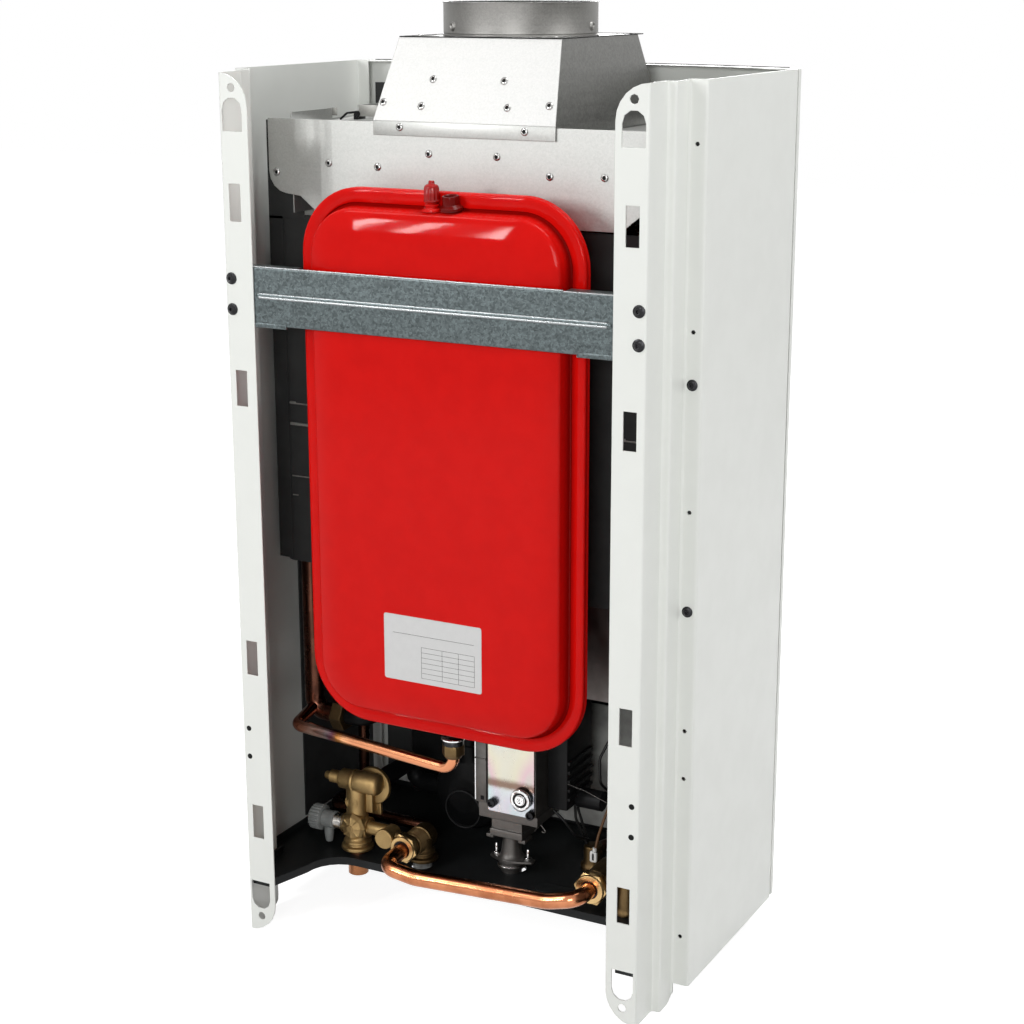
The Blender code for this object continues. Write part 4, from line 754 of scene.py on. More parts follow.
WIRE_BLACK = Moulding(
    "wire_black", (0.006, 0.006, 0.006), 0.35, "black_rubber", grain=2600.0, dust=0.0, specular=0.3,
)
WIRE_BROWN = Moulding(
    "wire_brown", (0.095, 0.045, 0.016), 0.35, "black_rubber", grain=2600.0, dust=0.0, specular=0.3,
)
FIBRE = Moulding("ceramic_fibre", (0.74, 0.71, 0.63), 0.95, "ceramic_fibre", grain=1500.0, depth=0.0003)
STAINLESS = Machined(
    "stainless_steel", (0.56, 0.55, 0.53), 0.3, "stainless_steel", tarnish=(0.34, 0.3, 0.26),
)
BURNER_STEEL = Machined(
    "heat_stained_steel", (0.13, 0.118, 0.112), 0.36, "stainless_steel", tarnish=(0.07, 0.055, 0.05),
)
# Bright chrome, also used for a rod that paints the highlight along the valve's edge strip.
CHROME_AND_HIGHLIGHT = Machined(
    "bright_chrome_and_painted_highlight", (0.8, 0.8, 0.8), 0.12, "passivated_zinc", tarnish=(0.55, 0.55, 0.55), cover=0.2,
)
# Black oxide for screws and small parts, also used for rings that paint the shade in the mouths of the union
# nuts.
BLACK_SCREW_AND_SHADE = Machined(
    "black_oxide_screw_and_painted_shade", (0.03, 0.03, 0.032), 0.34, "black_motor", tarnish=(0.012, 0.012, 0.012),
    radius=0.0003,
)
PAPER = Moulding(
    "label_paper", (0.58, 0.58, 0.575), 0.34, "pale_plastic", grain=2600.0, depth=0.000004, dust=0.1,
    mottle=0.97,
)
# Black for print, also used for patches that paint the shade in holes, gaps, grooves and hollows.
INK_AND_PAINTED_SHADE = Moulding(
    "label_ink_and_painted_shade", (0.008, 0.008, 0.008), 0.5, "black_plastic", grain=2600.0, depth=0.000002, dust=0.0,
    specular=0.1,
)


# -------- modelling


class Shape:
    """A piece that is being modelled in the frame of the boiler."""

    def __init__(self) -> None:
        """Starts an empty mesh."""
        self.bm = bmesh.new()

    @classmethod
    def of_node(cls, name: str) -> "Shape":
        """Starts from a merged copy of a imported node.

        Args:
            name: The node's name.

        Returns:
            The shape, with flat areas joined into whole faces.
        """
        made = cls()
        made.bm.from_mesh(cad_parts[name].data)
        bmesh.ops.remove_doubles(made.bm, verts=made.bm.verts, dist=2e-6)
        bmesh.ops.dissolve_limit(
            made.bm, angle_limit=radians(0.3), verts=made.bm.verts, edges=made.bm.edges,
            use_dissolve_boundaries=False,
        )
        return made

    def plate(
        self, outline: Profile, axis: Axis, low: float, high: float, round_edges: float = 0.0,
    ) -> "Shape":
        """Adds a flat outline extruded along an axis.

        Args:
            outline: Corner points across the axis.
            axis: The axis to extrude along.
            low: Where it starts on the axis.
            high: Where it ends.
            round_edges: Radius of a bevel on all its edges.

        Returns:
            The shape itself.
        """
        own = bmesh.new()
        order = {
            Axis.X: lambda u, v: (low, u, v),
            Axis.Y: lambda u, v: (u, low, v),
            Axis.Z: lambda u, v: (u, v, low),
        }
        face = own.faces.new([own.verts.new(order[axis](*point)) for point in outline])
        grown = bmesh.ops.extrude_face_region(own, geom=[face])
        far = [item for item in grown["geom"] if isinstance(item, bmesh.types.BMVert)]
        shift = {Axis.X: (1, 0, 0), Axis.Y: (0, 1, 0), Axis.Z: (0, 0, 1)}[axis]
        bmesh.ops.translate(own, verts=far, vec=Vector(shift) * (high - low))
        if round_edges:
            bmesh.ops.bevel(
                own, geom=list(own.edges), offset=round_edges, affect="EDGES", segments=2, profile=0.5,
                material=-1,
            )
        return self.take(own)

    def block(self, x: tuple, y: tuple, z: tuple, round_edges: float = 0.0) -> "Shape":
        """Adds a block between two values on each axis, its edges rounded if a radius is given."""
        outline = [(x[0], y[0]), (x[1], y[0]), (x[1], y[1]), (x[0], y[1])]
        return self.plate(outline, Axis.Z, z[0], z[1], round_edges)

    def turned(
        self, profile: Profile, center: Point, axis: Axis = Axis.Z, steps: int = 40,
        turn: Matrix | None = None,
    ) -> "Shape":
        """Adds a profile spun about an axis.

        Args:
            profile: Radius and height of each point of the section.
            center: Where the axis starts.
            axis: The axis that heights run along.
            steps: Facets round the axis.
            turn: A turn to use in place of the axis.

        Returns:
            The shape itself.
        """
        own = bmesh.new()
        verts = [own.verts.new((radius, 0.0, height)) for radius, height in profile]
        edges = [own.edges.new(pair) for pair in zip(verts, verts[1:])]
        if profile[0][0] > 0 or profile[-1][0] > 0:
            edges.append(own.edges.new((verts[-1], verts[0])))
        bmesh.ops.spin(
            own, geom=verts + edges, cent=(0, 0, 0), axis=(0, 0, 1), angle=2 * pi, steps=steps,
            use_merge=True,
        )
        own.transform(Matrix.Translation(center) @ (turn or axis.value))
        return self.take(own)

    def tube(
        self, corners: list[Point], radius: float, bends: list[float] | float, sides: int = 6,
    ) -> "Shape":
        """Adds a round tube along straight runs with round bends, closed at both ends.

        Args:
            corners: The points that its centre line would meet without bends.
            radius: Outside radius.
            bends: Radius of each bend, or one for all.
            sides: Facets in a quarter of its round.

        Returns:
            The shape itself.
        """
        line = bpy.data.curves.new("tube_line", "CURVE")
        line.dimensions = "3D"
        line.bevel_depth = radius
        line.bevel_resolution = sides
        line.use_fill_caps = True
        points = rounded_path(corners, bends)
        spline = line.splines.new("POLY")
        spline.points.add(len(points) - 1)
        for slot, point in zip(spline.points, points):
            slot.co = (*point, 1.0)
        holder = bpy.data.objects.new("tube_line", line)
        mesh = bpy.data.meshes.new_from_object(holder)
        own = bmesh.new()
        own.from_mesh(mesh)
        bpy.data.objects.remove(holder)
        bpy.data.curves.remove(line)
        bpy.data.meshes.remove(mesh)
        return self.take(own)

    def take(self, other: bmesh.types.BMesh) -> "Shape":
        """Adds another mesh, cleaned and facing outwards, to this one and frees it.

        Args:
            other: The mesh to add.

        Returns:
            The shape itself.
        """
        bmesh.ops.remove_doubles(other, verts=other.verts, dist=1e-6)
        bmesh.ops.recalc_face_normals(other, faces=other.faces)
        mesh = bpy.data.meshes.new("passing")
        other.to_mesh(mesh)
        other.free()
        self.bm.from_mesh(mesh)
        bpy.data.meshes.remove(mesh)
        return self

    def piece(
        self, name: str, finish: Finish, body: Body = Body.BOILER, stands_for: tuple = (),
        sharp: float = 40.0, even: bool = False,
    ) -> bpy.types.Object:
        """Finishes the shape as a piece of the boiler.

        Args:
            name: The piece's name.
            finish: Its finish.
            body: The body that it rides on.
            stands_for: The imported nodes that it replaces.
            sharp: Edges over this angle stay sharp.
            even: Weights its normals by area, so that flats stay flat beside bends.

        Returns:
            The piece.
        """
        mesh = bpy.data.meshes.new(name)
        self.bm.to_mesh(mesh)
        self.bm.free()
        mesh.materials.append(finish.material())
        mesh.shade_smooth()
        mesh.set_sharp_from_angle(angle=radians(sharp))
        made = bpy.data.objects.new(name, mesh)
        bpy.context.scene.collection.objects.link(made)
        if even:
            weighted = made.modifiers.new("even_normals", "WEIGHTED_NORMAL")
            weighted.keep_sharp = True
        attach(made, body.value)
        if stands_for:
            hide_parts(*stands_for)
        log.info("%s: %d faces", name, len(made.data.polygons))
        return made


def rounded_path(corners: list[Point], bends: list[float] | float, steps: int = 10) -> list[Vector]:
    """Rounds the inner corners of a path.

    Args:
        corners: The points of the sharp path.
        bends: The radius at each inner corner, or one for all.
        steps: Pieces in each bend.

    Returns:
        The points of the rounded path.
    """
    radii = bends if isinstance(bends, list) else [bends] * (len(corners) - 2)
    result = [Vector(corners[0])]
    for before, corner, after, bend in zip(corners, corners[1:], corners[2:], radii):
        middle = Vector(corner)
        back = (Vector(before) - middle).normalized()
        onward = (Vector(after) - middle).normalized()
        half = back.angle(onward) / 2
        center = middle + (back + onward).normalized() * bend / sin(half)
        first = middle + back * bend / tan(half) - center
        last = middle + onward * bend / tan(half) - center
        for step in range(steps + 1):
            result.append(center + first.slerp(last, step / steps).normalized() * bend)
    result.append(Vector(corners[-1]))
    return result


def polygon(center: tuple, radius: float, count: int, turn: float = 0.0) -> Profile:
    """Points of a regular polygon, or of a circle with a large count."""
    angles = [radians(turn) + 2 * pi * index / count for index in range(count)]
    return [(center[0] + radius * cos(angle), center[1] + radius * sin(angle)) for angle in angles]


def rounded_box(center: tuple, half_w: float, half_h: float, radius: float, steps: int = 5) -> Profile:
    """Works out a rectangle with round corners.

    Args:
        center: Its middle.
        half_w: Half its width.
        half_h: Half its height.
        radius: Radius of its corners.
        steps: Pieces in each corner.

    Returns:
        Its points.
    """
    points = []
    for sx, sy, start in ((1, 1, 0), (-1, 1, 90), (-1, -1, 180), (1, -1, 270)):
        corner = (center[0] + sx * (half_w - radius), center[1] + sy * (half_h - radius))
        for step in range(steps + 1):
            angle = radians(start + 90 * step / steps)
            points.append((corner[0] + radius * cos(angle), corner[1] + radius * sin(angle)))
    return points


def ribbed_round(center: tuple, outer: float, inner: float, ribs: int) -> Profile:
    """Works out a round with square ribs, as on a grip cap.

    Args:
        center: Its middle.
        outer: Radius of the ribs.
        inner: Radius between them.
        ribs: How many there are.

    Returns:
        Its points.
    """
    points = []
    for index in range(ribs * 4):
        angle = 2 * pi * index / (ribs * 4)
        radius = (outer, outer, inner, inner)[index % 4]
        points.append((center[0] + radius * cos(angle), center[1] + radius * sin(angle)))
    return points


def thread(root: float, crest: float, start: float, pitch: float, rise: float, count: int) -> Profile:
    """Section of a screw thread: ridges at a pitch, each rising from root to crest."""
    feet = [start + ridge * pitch for ridge in range(count)]
    return [point for foot in feet for point in ((root, foot), (crest, foot + rise))]


def carried(node: str, finish: Finish, body: Body = Body.BOILER, sharp: float = 50.0) -> bpy.types.Object:
    """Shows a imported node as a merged, smooth-shaded copy with its finish."""
    return Shape.of_node(node).piece(node + "_skin", finish, body, (node,), sharp, even=True)


def dressed(finish: Finish, *nodes: str) -> None:
    """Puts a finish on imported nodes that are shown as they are.

    Args:
        finish: The finish.
        *nodes: Names of the nodes.
    """
    for node in nodes:
        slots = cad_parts[node].data.materials
        slots.clear()
        slots.append(finish.material())


# -------- the boiler


@dataclass
class Fasteners:
    """Screws and rivets, each a spun head placed on its face."""

    rivet_radius: float = 0.0031
    screw_radius: float = 0.0047

    def facing(self, normal: Point) -> Matrix:
        """The turn that points +Z along a normal."""
        return Vector(normal).to_track_quat("Z", "Y").to_matrix().to_4x4()

    def rivet(self, shape: Shape, place: Point, normal: Point, size: float = 1.0) -> None:
        """Adds the open ring of a blind rivet's head.

        Args:
            shape: The shape to add it to.
            place: Where it sits on its face.
            normal: Which way the face looks.
            size: Share of the usual size.
        """
        r = self.rivet_radius * size
        profile = [(r * 0.42, -0.0003), (r * 0.42, r * 0.26), (r * 0.52, r * 0.38), (r * 0.74, r * 0.34)]
        profile += [(r * 0.94, r * 0.18), (r, r * 0.03), (r, -0.0003)]
        shape.turned(profile, place, steps=20, turn=self.facing(normal))

    def hole_shade(self, shape: Shape, place: Point, normal: Point, size: float = 1.0) -> None:
        """Adds a black disc in the middle of a rivet that paints the shade in its hollow."""
        r, turn = self.rivet_radius * size * 0.44, self.facing(normal)
        shape.turned([(0, 0.0003), (r, 0.0002), (r, -0.0003), (0, -0.0003)], place, steps=14, turn=turn)

    def screw(self, shape: Shape, place: Point, normal: Point, size: float = 1.0) -> None:
        """Adds a flanged pan head with a round recess.

        Args:
            shape: The shape to add it to.
            place: Where it sits on its face.
            normal: Which way the face looks.
            size: Share of the usual size.
        """
        r = self.screw_radius * size
        profile = [(0, r * 0.22), (r * 0.2, r * 0.25), (r * 0.3, r * 0.52), (r * 0.45, r * 0.55)]
        profile += [(r * 0.64, r * 0.42), (r * 0.74, r * 0.22), (r * 0.98, r * 0.14), (r, r * 0.04)]
        profile += [(r, -0.0004), (0, -0.0004)]
        shape.turned(profile, place, steps=24, turn=self.facing(normal))


@dataclass
class Casing:
    """The side sheets, front cover and base tray, with their screws, hem seal and dark sheets inside that
    paint shade.

    Attributes:
        cover_corner: Plane of the cover's skin at its two sides.
        cover_bow: How far the skin bows forward in the middle.
        shade_lining_z: Foot of the dark sheet inside the cover's skin at the sides and in the middle, and its
            top; the sheet paints shade.
    """

    fasteners: Fasteners = field(default_factory=Fasteners)
    flange_x: float = 0.1728
    flange_screws: tuple = (0.5526, 0.5286)
    band_at: tuple = (0.1925, -0.0511)
    band_screws: tuple = (0.4931, 0.3219)
    pilot_holes: tuple = (0.1813, 0.1568)
    cover_corner: float = -0.241
    cover_bow: float = 0.03
    cover_half: float = 0.194
    seal_z: float = 0.7086
    shade_lining_z: tuple = (0.06, 0.175, 0.69)

    def build(self) -> None:
        """Builds and dresses the casing."""
        for node in ("side_panel_right", "side_panel_left"):
            carried(node, WHITE_PAINT)
        carried("front_cover", WHITE_PAINT, Body.COVER)
        carried("base_tray", TRAY_PAINT)
        self.screws()
        self.holes()
        self.cover_trim()
        self.side_shade_linings()

    def screws(self) -> None:
        """Adds the black screws of the rear flanges and of the step bands."""
        shape = Shape()
        across, deep = self.band_at
        for side in (1, -1):
            for height in self.flange_screws:
                self.fasteners.screw(shape, (side * self.flange_x, 0.0, height), (0, 1, 0))
            for height in self.band_screws:
                self.fasteners.screw(shape, (side * across, deep, height), (0, 1, 0), 0.9)
        shape.piece("casing_screws", BLACK_SCREW_AND_SHADE)

    def holes(self) -> None:
        """Adds black discs that paint the shade in the pilot holes low on the rear flanges, and the embossed
        mark in the tray.
        """
        shape = Shape()
        disc = [(0, 0.00008), (0.0023, 0.00008), (0.0023, -0.0003), (0, -0.0003)]
        for side in (1, -1):
            for height in self.pilot_holes:
                shape.turned(disc, (side * 0.1727, 0.0, height), Axis.Y, steps=20)
        shape.piece("flange_pilot_hole_shades", INK_AND_PAINTED_SHADE)
        boss = Shape()
        boss.plate(rounded_box((-0.068, -0.088), 0.02, 0.008, 0.0078), Axis.Z, 0.0515, 0.0526, 0.0005)
        boss.piece("tray_pressed_mark", TRAY_PAINT)

    def cover_trim(self) -> None:
        """Adds the seal along the bowed hem of the cover and a dark sheet inside its skin that paints the
        shade there.
        """
        line = []
        for index in range(-8, 9):
            x = 0.0235 * index
            bow = self.cover_bow * (1 - (x / self.cover_half) ** 2)
            line.append((x, self.cover_corner + 0.0014 - bow, self.seal_z))
        Shape().tube(line, 0.0009, 0.001, 3).piece("cover_hem_seal", RUBBER, Body.COVER)
        foot, middle, top = self.shade_lining_z
        inner = [(x, y + 0.0002) for x, y, z in line]
        shade_lining = Shape().plate([*inner, *[(x, y + 0.001) for x, y in inner[::-1]]], Axis.Z, middle, top)
        for part in (inner[:3], inner[-3:]):
            shade_lining.plate([*part, *[(x, y + 0.0008) for x, y in part[::-1]]], Axis.Z, foot, middle + 0.0005)
        shade_lining.piece("cover_shade_lining", SHADE_SHEET, Body.COVER)

    def side_shade_linings(self) -> None:
        """Adds dark sheets low inside the side sheets that paint the shade there."""
        walls = Shape()
        for side in (1, -1):
            across = tuple(sorted((side * 0.1974, side * 0.1986)))
            walls.block(across, (-0.237, -0.115), (0.054, 0.33), 0.0003)
        walls.piece("side_shade_linings", SHADE_SHEET)


@dataclass
class HangingBar:
    """The galvanised bar across the back, with its hem, pressed bead and end tabs."""

    half: float = 0.176
    bead_z: float = 0.5405
    bead_half: float = 0.148
    rear: float = -0.0013
    top: float = 0.5628
    foot: float = 0.5175

    def build(self) -> None:
        """Builds the strip, hem, bead and tabs."""
        carried("hanging_bar", BAR_ZINC)
        self.bead()
        self.tabs()

    def bead(self) -> None:
        """Builds the raised bead as two tubes and the hem of the top edge, in a brighter zinc that paints
        their highlights.
        """
        bead = Shape()
        proud = self.rear + 0.0002
        for z, radius in ((self.bead_z + 0.0016, 0.0008), (self.bead_z - 0.001, 0.0012)):
            bead.tube([(-self.bead_half, proud, z), (self.bead_half, proud, z)], radius, [], 4)
        hem = self.top + 0.0001
        bead.tube([(-0.113, self.rear, hem), (self.half, self.rear, hem)], 0.0006, [], 3)
        hem -= 0.0006
        bead.tube([(-self.half, self.rear, hem), (-0.1135, self.rear, hem)], 0.0005, [], 3)
        bead.piece("hanging_bar_bead", BEAD_HIGHLIGHT_ZINC)
        ends = Shape()
        for x in (-self.bead_half - 0.001, self.bead_half + 0.001):
            dish = [(0, 0.0014), (0.001, 0.0012), (0.0022, 0.0006), (0.0028, -0.0002), (0, -0.0002)]
            ends.turned(dish, (x, self.rear, self.bead_z), Axis.Y, steps=24)
        ends.piece("hanging_bar_bead_ends", BAR_ZINC)

    def tabs(self) -> None:
        """Builds the folded lips at both ends of the lower edge and two rows of stamped marks."""
        tabs = Shape()
        depth = (self.rear - 0.0014, self.rear + 0.0004)
        height = (self.foot - 0.0016, self.foot + 0.0022)
        for side in (1, -1):
            across = tuple(sorted((side * self.half, side * 0.124)))
            tabs.block(across, depth, height, 0.0003)
        tabs.piece("hanging_bar_tabs", BAR_ZINC)
        stamps = Shape()
        for z, count, start in ((0.556, 9, -0.118), (0.5245, 7, -0.122)):
            for index in range(count):
                x = start - index * 0.0042
                stamp = (x - 0.0013, x + 0.0013)
                stamps.block(stamp, (self.rear, self.rear + 0.00012), (z - 0.0004, z + 0.0004))
        stamps.piece("hanging_bar_stamps", BAR_ZINC)


@dataclass
class ExpansionVessel:
    """The red expansion vessel: two deep pressings clamped by a rolled rim, its valve and label.

    Attributes:
        dome_reach: Inset from the rim at which the rear flat starts.
        spigot: Where the connection at its foot stands, across and deep.
        shoulder: Inset up to which the corners stay parallel to the rim's.
        ease: How much the radius shrinks for each step inwards past the shoulder.
        hold: Distance of the points that hold a straight run next to its corners.
    """

    mid_z: float = 0.4118
    rim_half: tuple = (0.1215, 0.2135)
    rim_corner: float = 0.052
    rim_y: float = -0.026
    rear_face: float = -0.0062
    front_face: float = -0.066
    dome_reach: float = 0.039
    spigot: tuple = (0.0012, -0.038)
    corner_steps: int = 14
    shoulder: float = 0.0185
    ease: float = 0.4
    hold: float = 0.0015

    def build(self) -> None:
        """Builds the pressings, rim, valve, connection and label."""
        self.rear_pressing()
        self.front_pressing()
        self.rim()
        self.boss()
        self.valve()
        self.connection()
        self.label()
        dressed(RUBBER, "vessel_membrane")

    def ring(self, bm: bmesh.types.BMesh, inset: float, y: float) -> list:
        """Adds one rounded outline at a plane.

        Args:
            bm: The mesh to add it to.
            inset: How far it lies inside the rim.
            y: Its plane.

        Returns:
            Its vertices.
        """
        half_w = self.rim_half[0] - inset
        half_h = self.rim_half[1] - inset
        radius = self.rim_corner - min(inset, self.shoulder) - self.ease * max(inset - self.shoulder, 0.0)
        outline = rounded_box((0, self.mid_z), half_w, half_h, radius, self.corner_steps)
        spots = []
        for (x, z), (far_x, far_z) in zip(outline, outline[1:] + outline[:1]):
            length = ((far_x - x) ** 2 + (far_z - z) ** 2) ** 0.5
            near = self.hold / length
            shares = (0.0, near, 0.35, 0.65, 1 - near) if length > 0.02 else (0.0,)
            spots += [(x + (far_x - x) * share, z + (far_z - z) * share) for share in shares]
        return [bm.verts.new((x, y, z)) for x, z in spots]

    def skin(self, rings: list[tuple[float, float]], closed: bool = False) -> Shape:
        """Bridges rounded outlines into a skin.

        Args:
            rings: Inset and plane of each outline.
            closed: Joins the last to the first, in place of filling the last.

        Returns:
            The shape.
        """
        bm = bmesh.new()
        loops = [self.ring(bm, *spot) for spot in rings]
        pairs = list(zip(loops, loops[1:]))
        if closed:
            pairs.append((loops[-1], loops[0]))
        for first, second in pairs:
            for index in range(len(first)):
                onward = (index + 1) % len(first)
                bm.faces.new((first[index], first[onward], second[onward], second[index]))
        if not closed:
            for loop in (loops[0], loops[-1]):
                bmesh.ops.inset_region(bm, faces=[bm.faces.new(loop)], thickness=0.012, use_even_offset=True)
        return Shape().take(bm)

    def rear_pressing(self) -> None:
        """Builds the rear half: its clamped edge, steep wall, tight shoulder and low dome."""
        seat = self.rim_y + 0.0012
        rings = [(0.003, seat), (0.003, seat + 0.0008), (0.0111, seat + 0.001), (0.0116, seat + 0.0019)]
        rings += [(0.0127, seat + 0.0023), (0.0133, seat + 0.0036), (0.0142, -0.016), (0.0145, -0.014)]
        corner = (0.0183, -0.0134)
        for step in range(7):
            angle = radians(82 - 64 * step / 6)
            rings.append((corner[0] - 0.0036 * sin(angle), corner[1] + 0.0036 * cos(angle)))
        edge = rings[-1]
        reach = self.dome_reach - edge[0]
        for step in range(1, 13):
            share = step / 12
            plane = self.rear_face + (edge[1] - self.rear_face) * (1 - share) ** 2
            rings.append((edge[0] + reach * share, plane))
        shape = self.skin(rings)
        # Its enamel carries painted shade in the groove beside the rim.
        shape.piece("vessel_rear_pressing", GROOVE_SHADE_ENAMEL, stands_for=("vessel_rear_shell",), sharp=60)

    def front_pressing(self) -> None:
        """Builds the front half with its wide round shoulder."""
        seat = self.rim_y - 0.0012
        rings = [(0.003, seat), (0.003, seat - 0.0008), (0.0118, seat - 0.001), (0.013, seat - 0.0016)]
        base = seat - 0.004
        for step in range(17):
            angle = pi / 2 * step / 16
            rings.append((0.0135 + 0.0465 * (1 - cos(angle)), base + (self.front_face - base) * sin(angle)))
        shape = self.skin(rings)
        shape.piece("vessel_front_pressing", RED_ENAMEL, stands_for=("vessel_front_shell",), sharp=60)

    def rim(self) -> None:
        """Builds the rolled rim: a band with two round edges and a shallow hollow between them."""
        inner = 0.0112
        section = [(inner, 0.0038), (inner - 0.0006, 0.0044), (0.003, 0.0044), (0.0014, 0.0042)]
        section += [(0.0004, 0.0034), (0.0001, 0.0026), (0.0004, 0.0018), (0.001, 0.001)]
        section += [(inset, -y) for inset, y in section[::-1]]
        section += [(inner, -0.003), (0.0024, -0.003), (0.0024, 0.003), (inner, 0.003)]
        rings = [(inset, self.rim_y + y) for inset, y in section]
        shape = self.skin(rings, closed=True)
        shape.piece("vessel_rolled_rim", RED_ENAMEL, stands_for=("vessel_rim",), sharp=50)

    def boss(self) -> None:
        """Builds the blind hollow boss beside the charging valve, in a darker red that paints its shade, with
        a black floor that paints the shade inside it.
        """
        lean = Matrix.Rotation(radians(-8), 4, "X")
        cup = [(0.0044, 0.0), (0.0044, 0.0074), (0.0052, 0.0082), (0.006, 0.0079), (0.0063, 0.0068)]
        cup += [(0.0063, 0.0016), (0.0074, 0.0006), (0.0088, -0.0004), (0.0088, -0.0024), (0.0044, -0.0024)]
        place = (-0.0135, -0.0172, 0.6155)
        Shape().turned(cup, place, steps=40, turn=lean).piece("vessel_blind_boss", SHADE_RED_ENAMEL)
        floor = [(0, 0.0042), (0.0045, 0.0042), (0.0045, 0.0), (0, 0.0)]
        Shape().turned(floor, place, steps=32, turn=lean).piece("vessel_blind_boss_floor_shade", INK_AND_PAINTED_SHADE)

    def valve(self) -> None:
        """Builds the charging valve's stem and its ribbed cap."""
        stem = [(0, -0.0015), (0.0078, -0.0015), (0.0076, 0.0), (0.0062, 0.0004), (0.006, 0.001)]
        stem += [(0.0048, 0.001), (0.0048, 0.0022), (0.0056, 0.0026), (0.0056, 0.0038), (0.004, 0.0042)]
        stem += [(0.0034, 0.005), (0.004, 0.0056), (0.0034, 0.0062), (0.0031, 0.0155), (0, 0.0155)]
        Shape().turned(stem, (0.002, -0.016, 0.6128)).piece("air_valve_stem", RED_ENAMEL)
        x, y, base = 0.002, -0.0156, 0.6182
        outline = ribbed_round((x, y), 0.0057, 0.005, 11)
        cap = Shape().plate(outline, Axis.Z, base + 0.0012, base + 0.0106, 0.0002)
        skirt = [(0.0034, 0.0), (0.0056, 0.0), (0.006, 0.0004), (0.006, 0.0014), (0.0034, 0.0014)]
        cap.turned(skirt, (x, y, base), steps=40)
        top = [(0, 0.01), (0.0055, 0.0105), (0.0052, 0.0118), (0.004, 0.0128)]
        top += [(0.0024, 0.0133), (0.0022, 0.015), (0.0016, 0.0157), (0, 0.0158)]
        cap.turned(top, (x, y, base), steps=40)
        cap.piece("air_valve_moulded_cap", RED_PLASTIC, Body.VESSEL_CAP, ("air_valve_cap",), sharp=30)

    def connection(self) -> None:
        """Builds the washer, union nut and copper pipe at the foot of the vessel; the nut is in the darker
        brass that paints its shade.
        """
        x, y = self.spigot
        washer = [(0, 0.1902), (0.0094, 0.1902), (0.0098, 0.1906), (0.0098, 0.1916)]
        washer += [(0.0092, 0.192), (0, 0.192)]
        shape = Shape().turned(washer, (x, y, 0))
        shape.piece("vessel_connection_washer", CHROME_AND_HIGHLIGHT, stands_for=("vessel_washer",))
        collar = [(0, 0.186), (0.0086, 0.186), (0.0086, 0.1888), (0.0078, 0.1902), (0, 0.1902)]
        Shape().turned(collar, (x, y, 0)).piece("vessel_connection_collar", BLACK_SCREW_AND_SHADE)
        nut = Shape().plate(polygon((x, y), 0.0094, 6, 12), Axis.Z, 0.1772, 0.1862, 0.0006)
        neck = [(0, 0.1745), (0.0062, 0.1745), (0.0072, 0.1758), (0.008, 0.1775), (0, 0.1775)]
        nut.turned(neck, (x, y, 0))
        nut.piece("vessel_union_nut", BRASS_SHADE, stands_for=("vessel_nut",))
        corners = [(x, y, 0.177), (x, y, 0.1637), (0.161, -0.0505, 0.1693), (0.1665, -0.085, 0.1725)]
        pipe = Shape().tube(corners, 0.005, [0.0112, 0.009], 8)
        pipe.piece("vessel_copper_pipe", HEATED_COPPER, stands_for=("vessel_pipe",))

    def label(self) -> None:
        """Adds a bare rating label with ruled lines only."""
        face = self.rear_face
        outline = rounded_box((0.00075, 0.27235), 0.0434, 0.0268, 0.002)
        paper = Shape().plate(outline, Axis.Y, face, face + 0.00015)
        paper.piece("vessel_label", PAPER)
        lines, ink, fine = Shape(), (face, face + 0.0002), 0.00022
        for index in range(7):
            z = 0.25 + index * 0.0042
            lines.block((-0.0365, 0.0105), ink, (z, z + fine))
        for x in (-0.0365, -0.0225, -0.008, 0.0105):
            lines.block((x, x + fine), ink, (0.25, 0.2754))
        lines.block((-0.036, 0.036), ink, (0.2842, 0.28445))
        lines.piece("vessel_label_rules", INK_AND_PAINTED_SHADE)


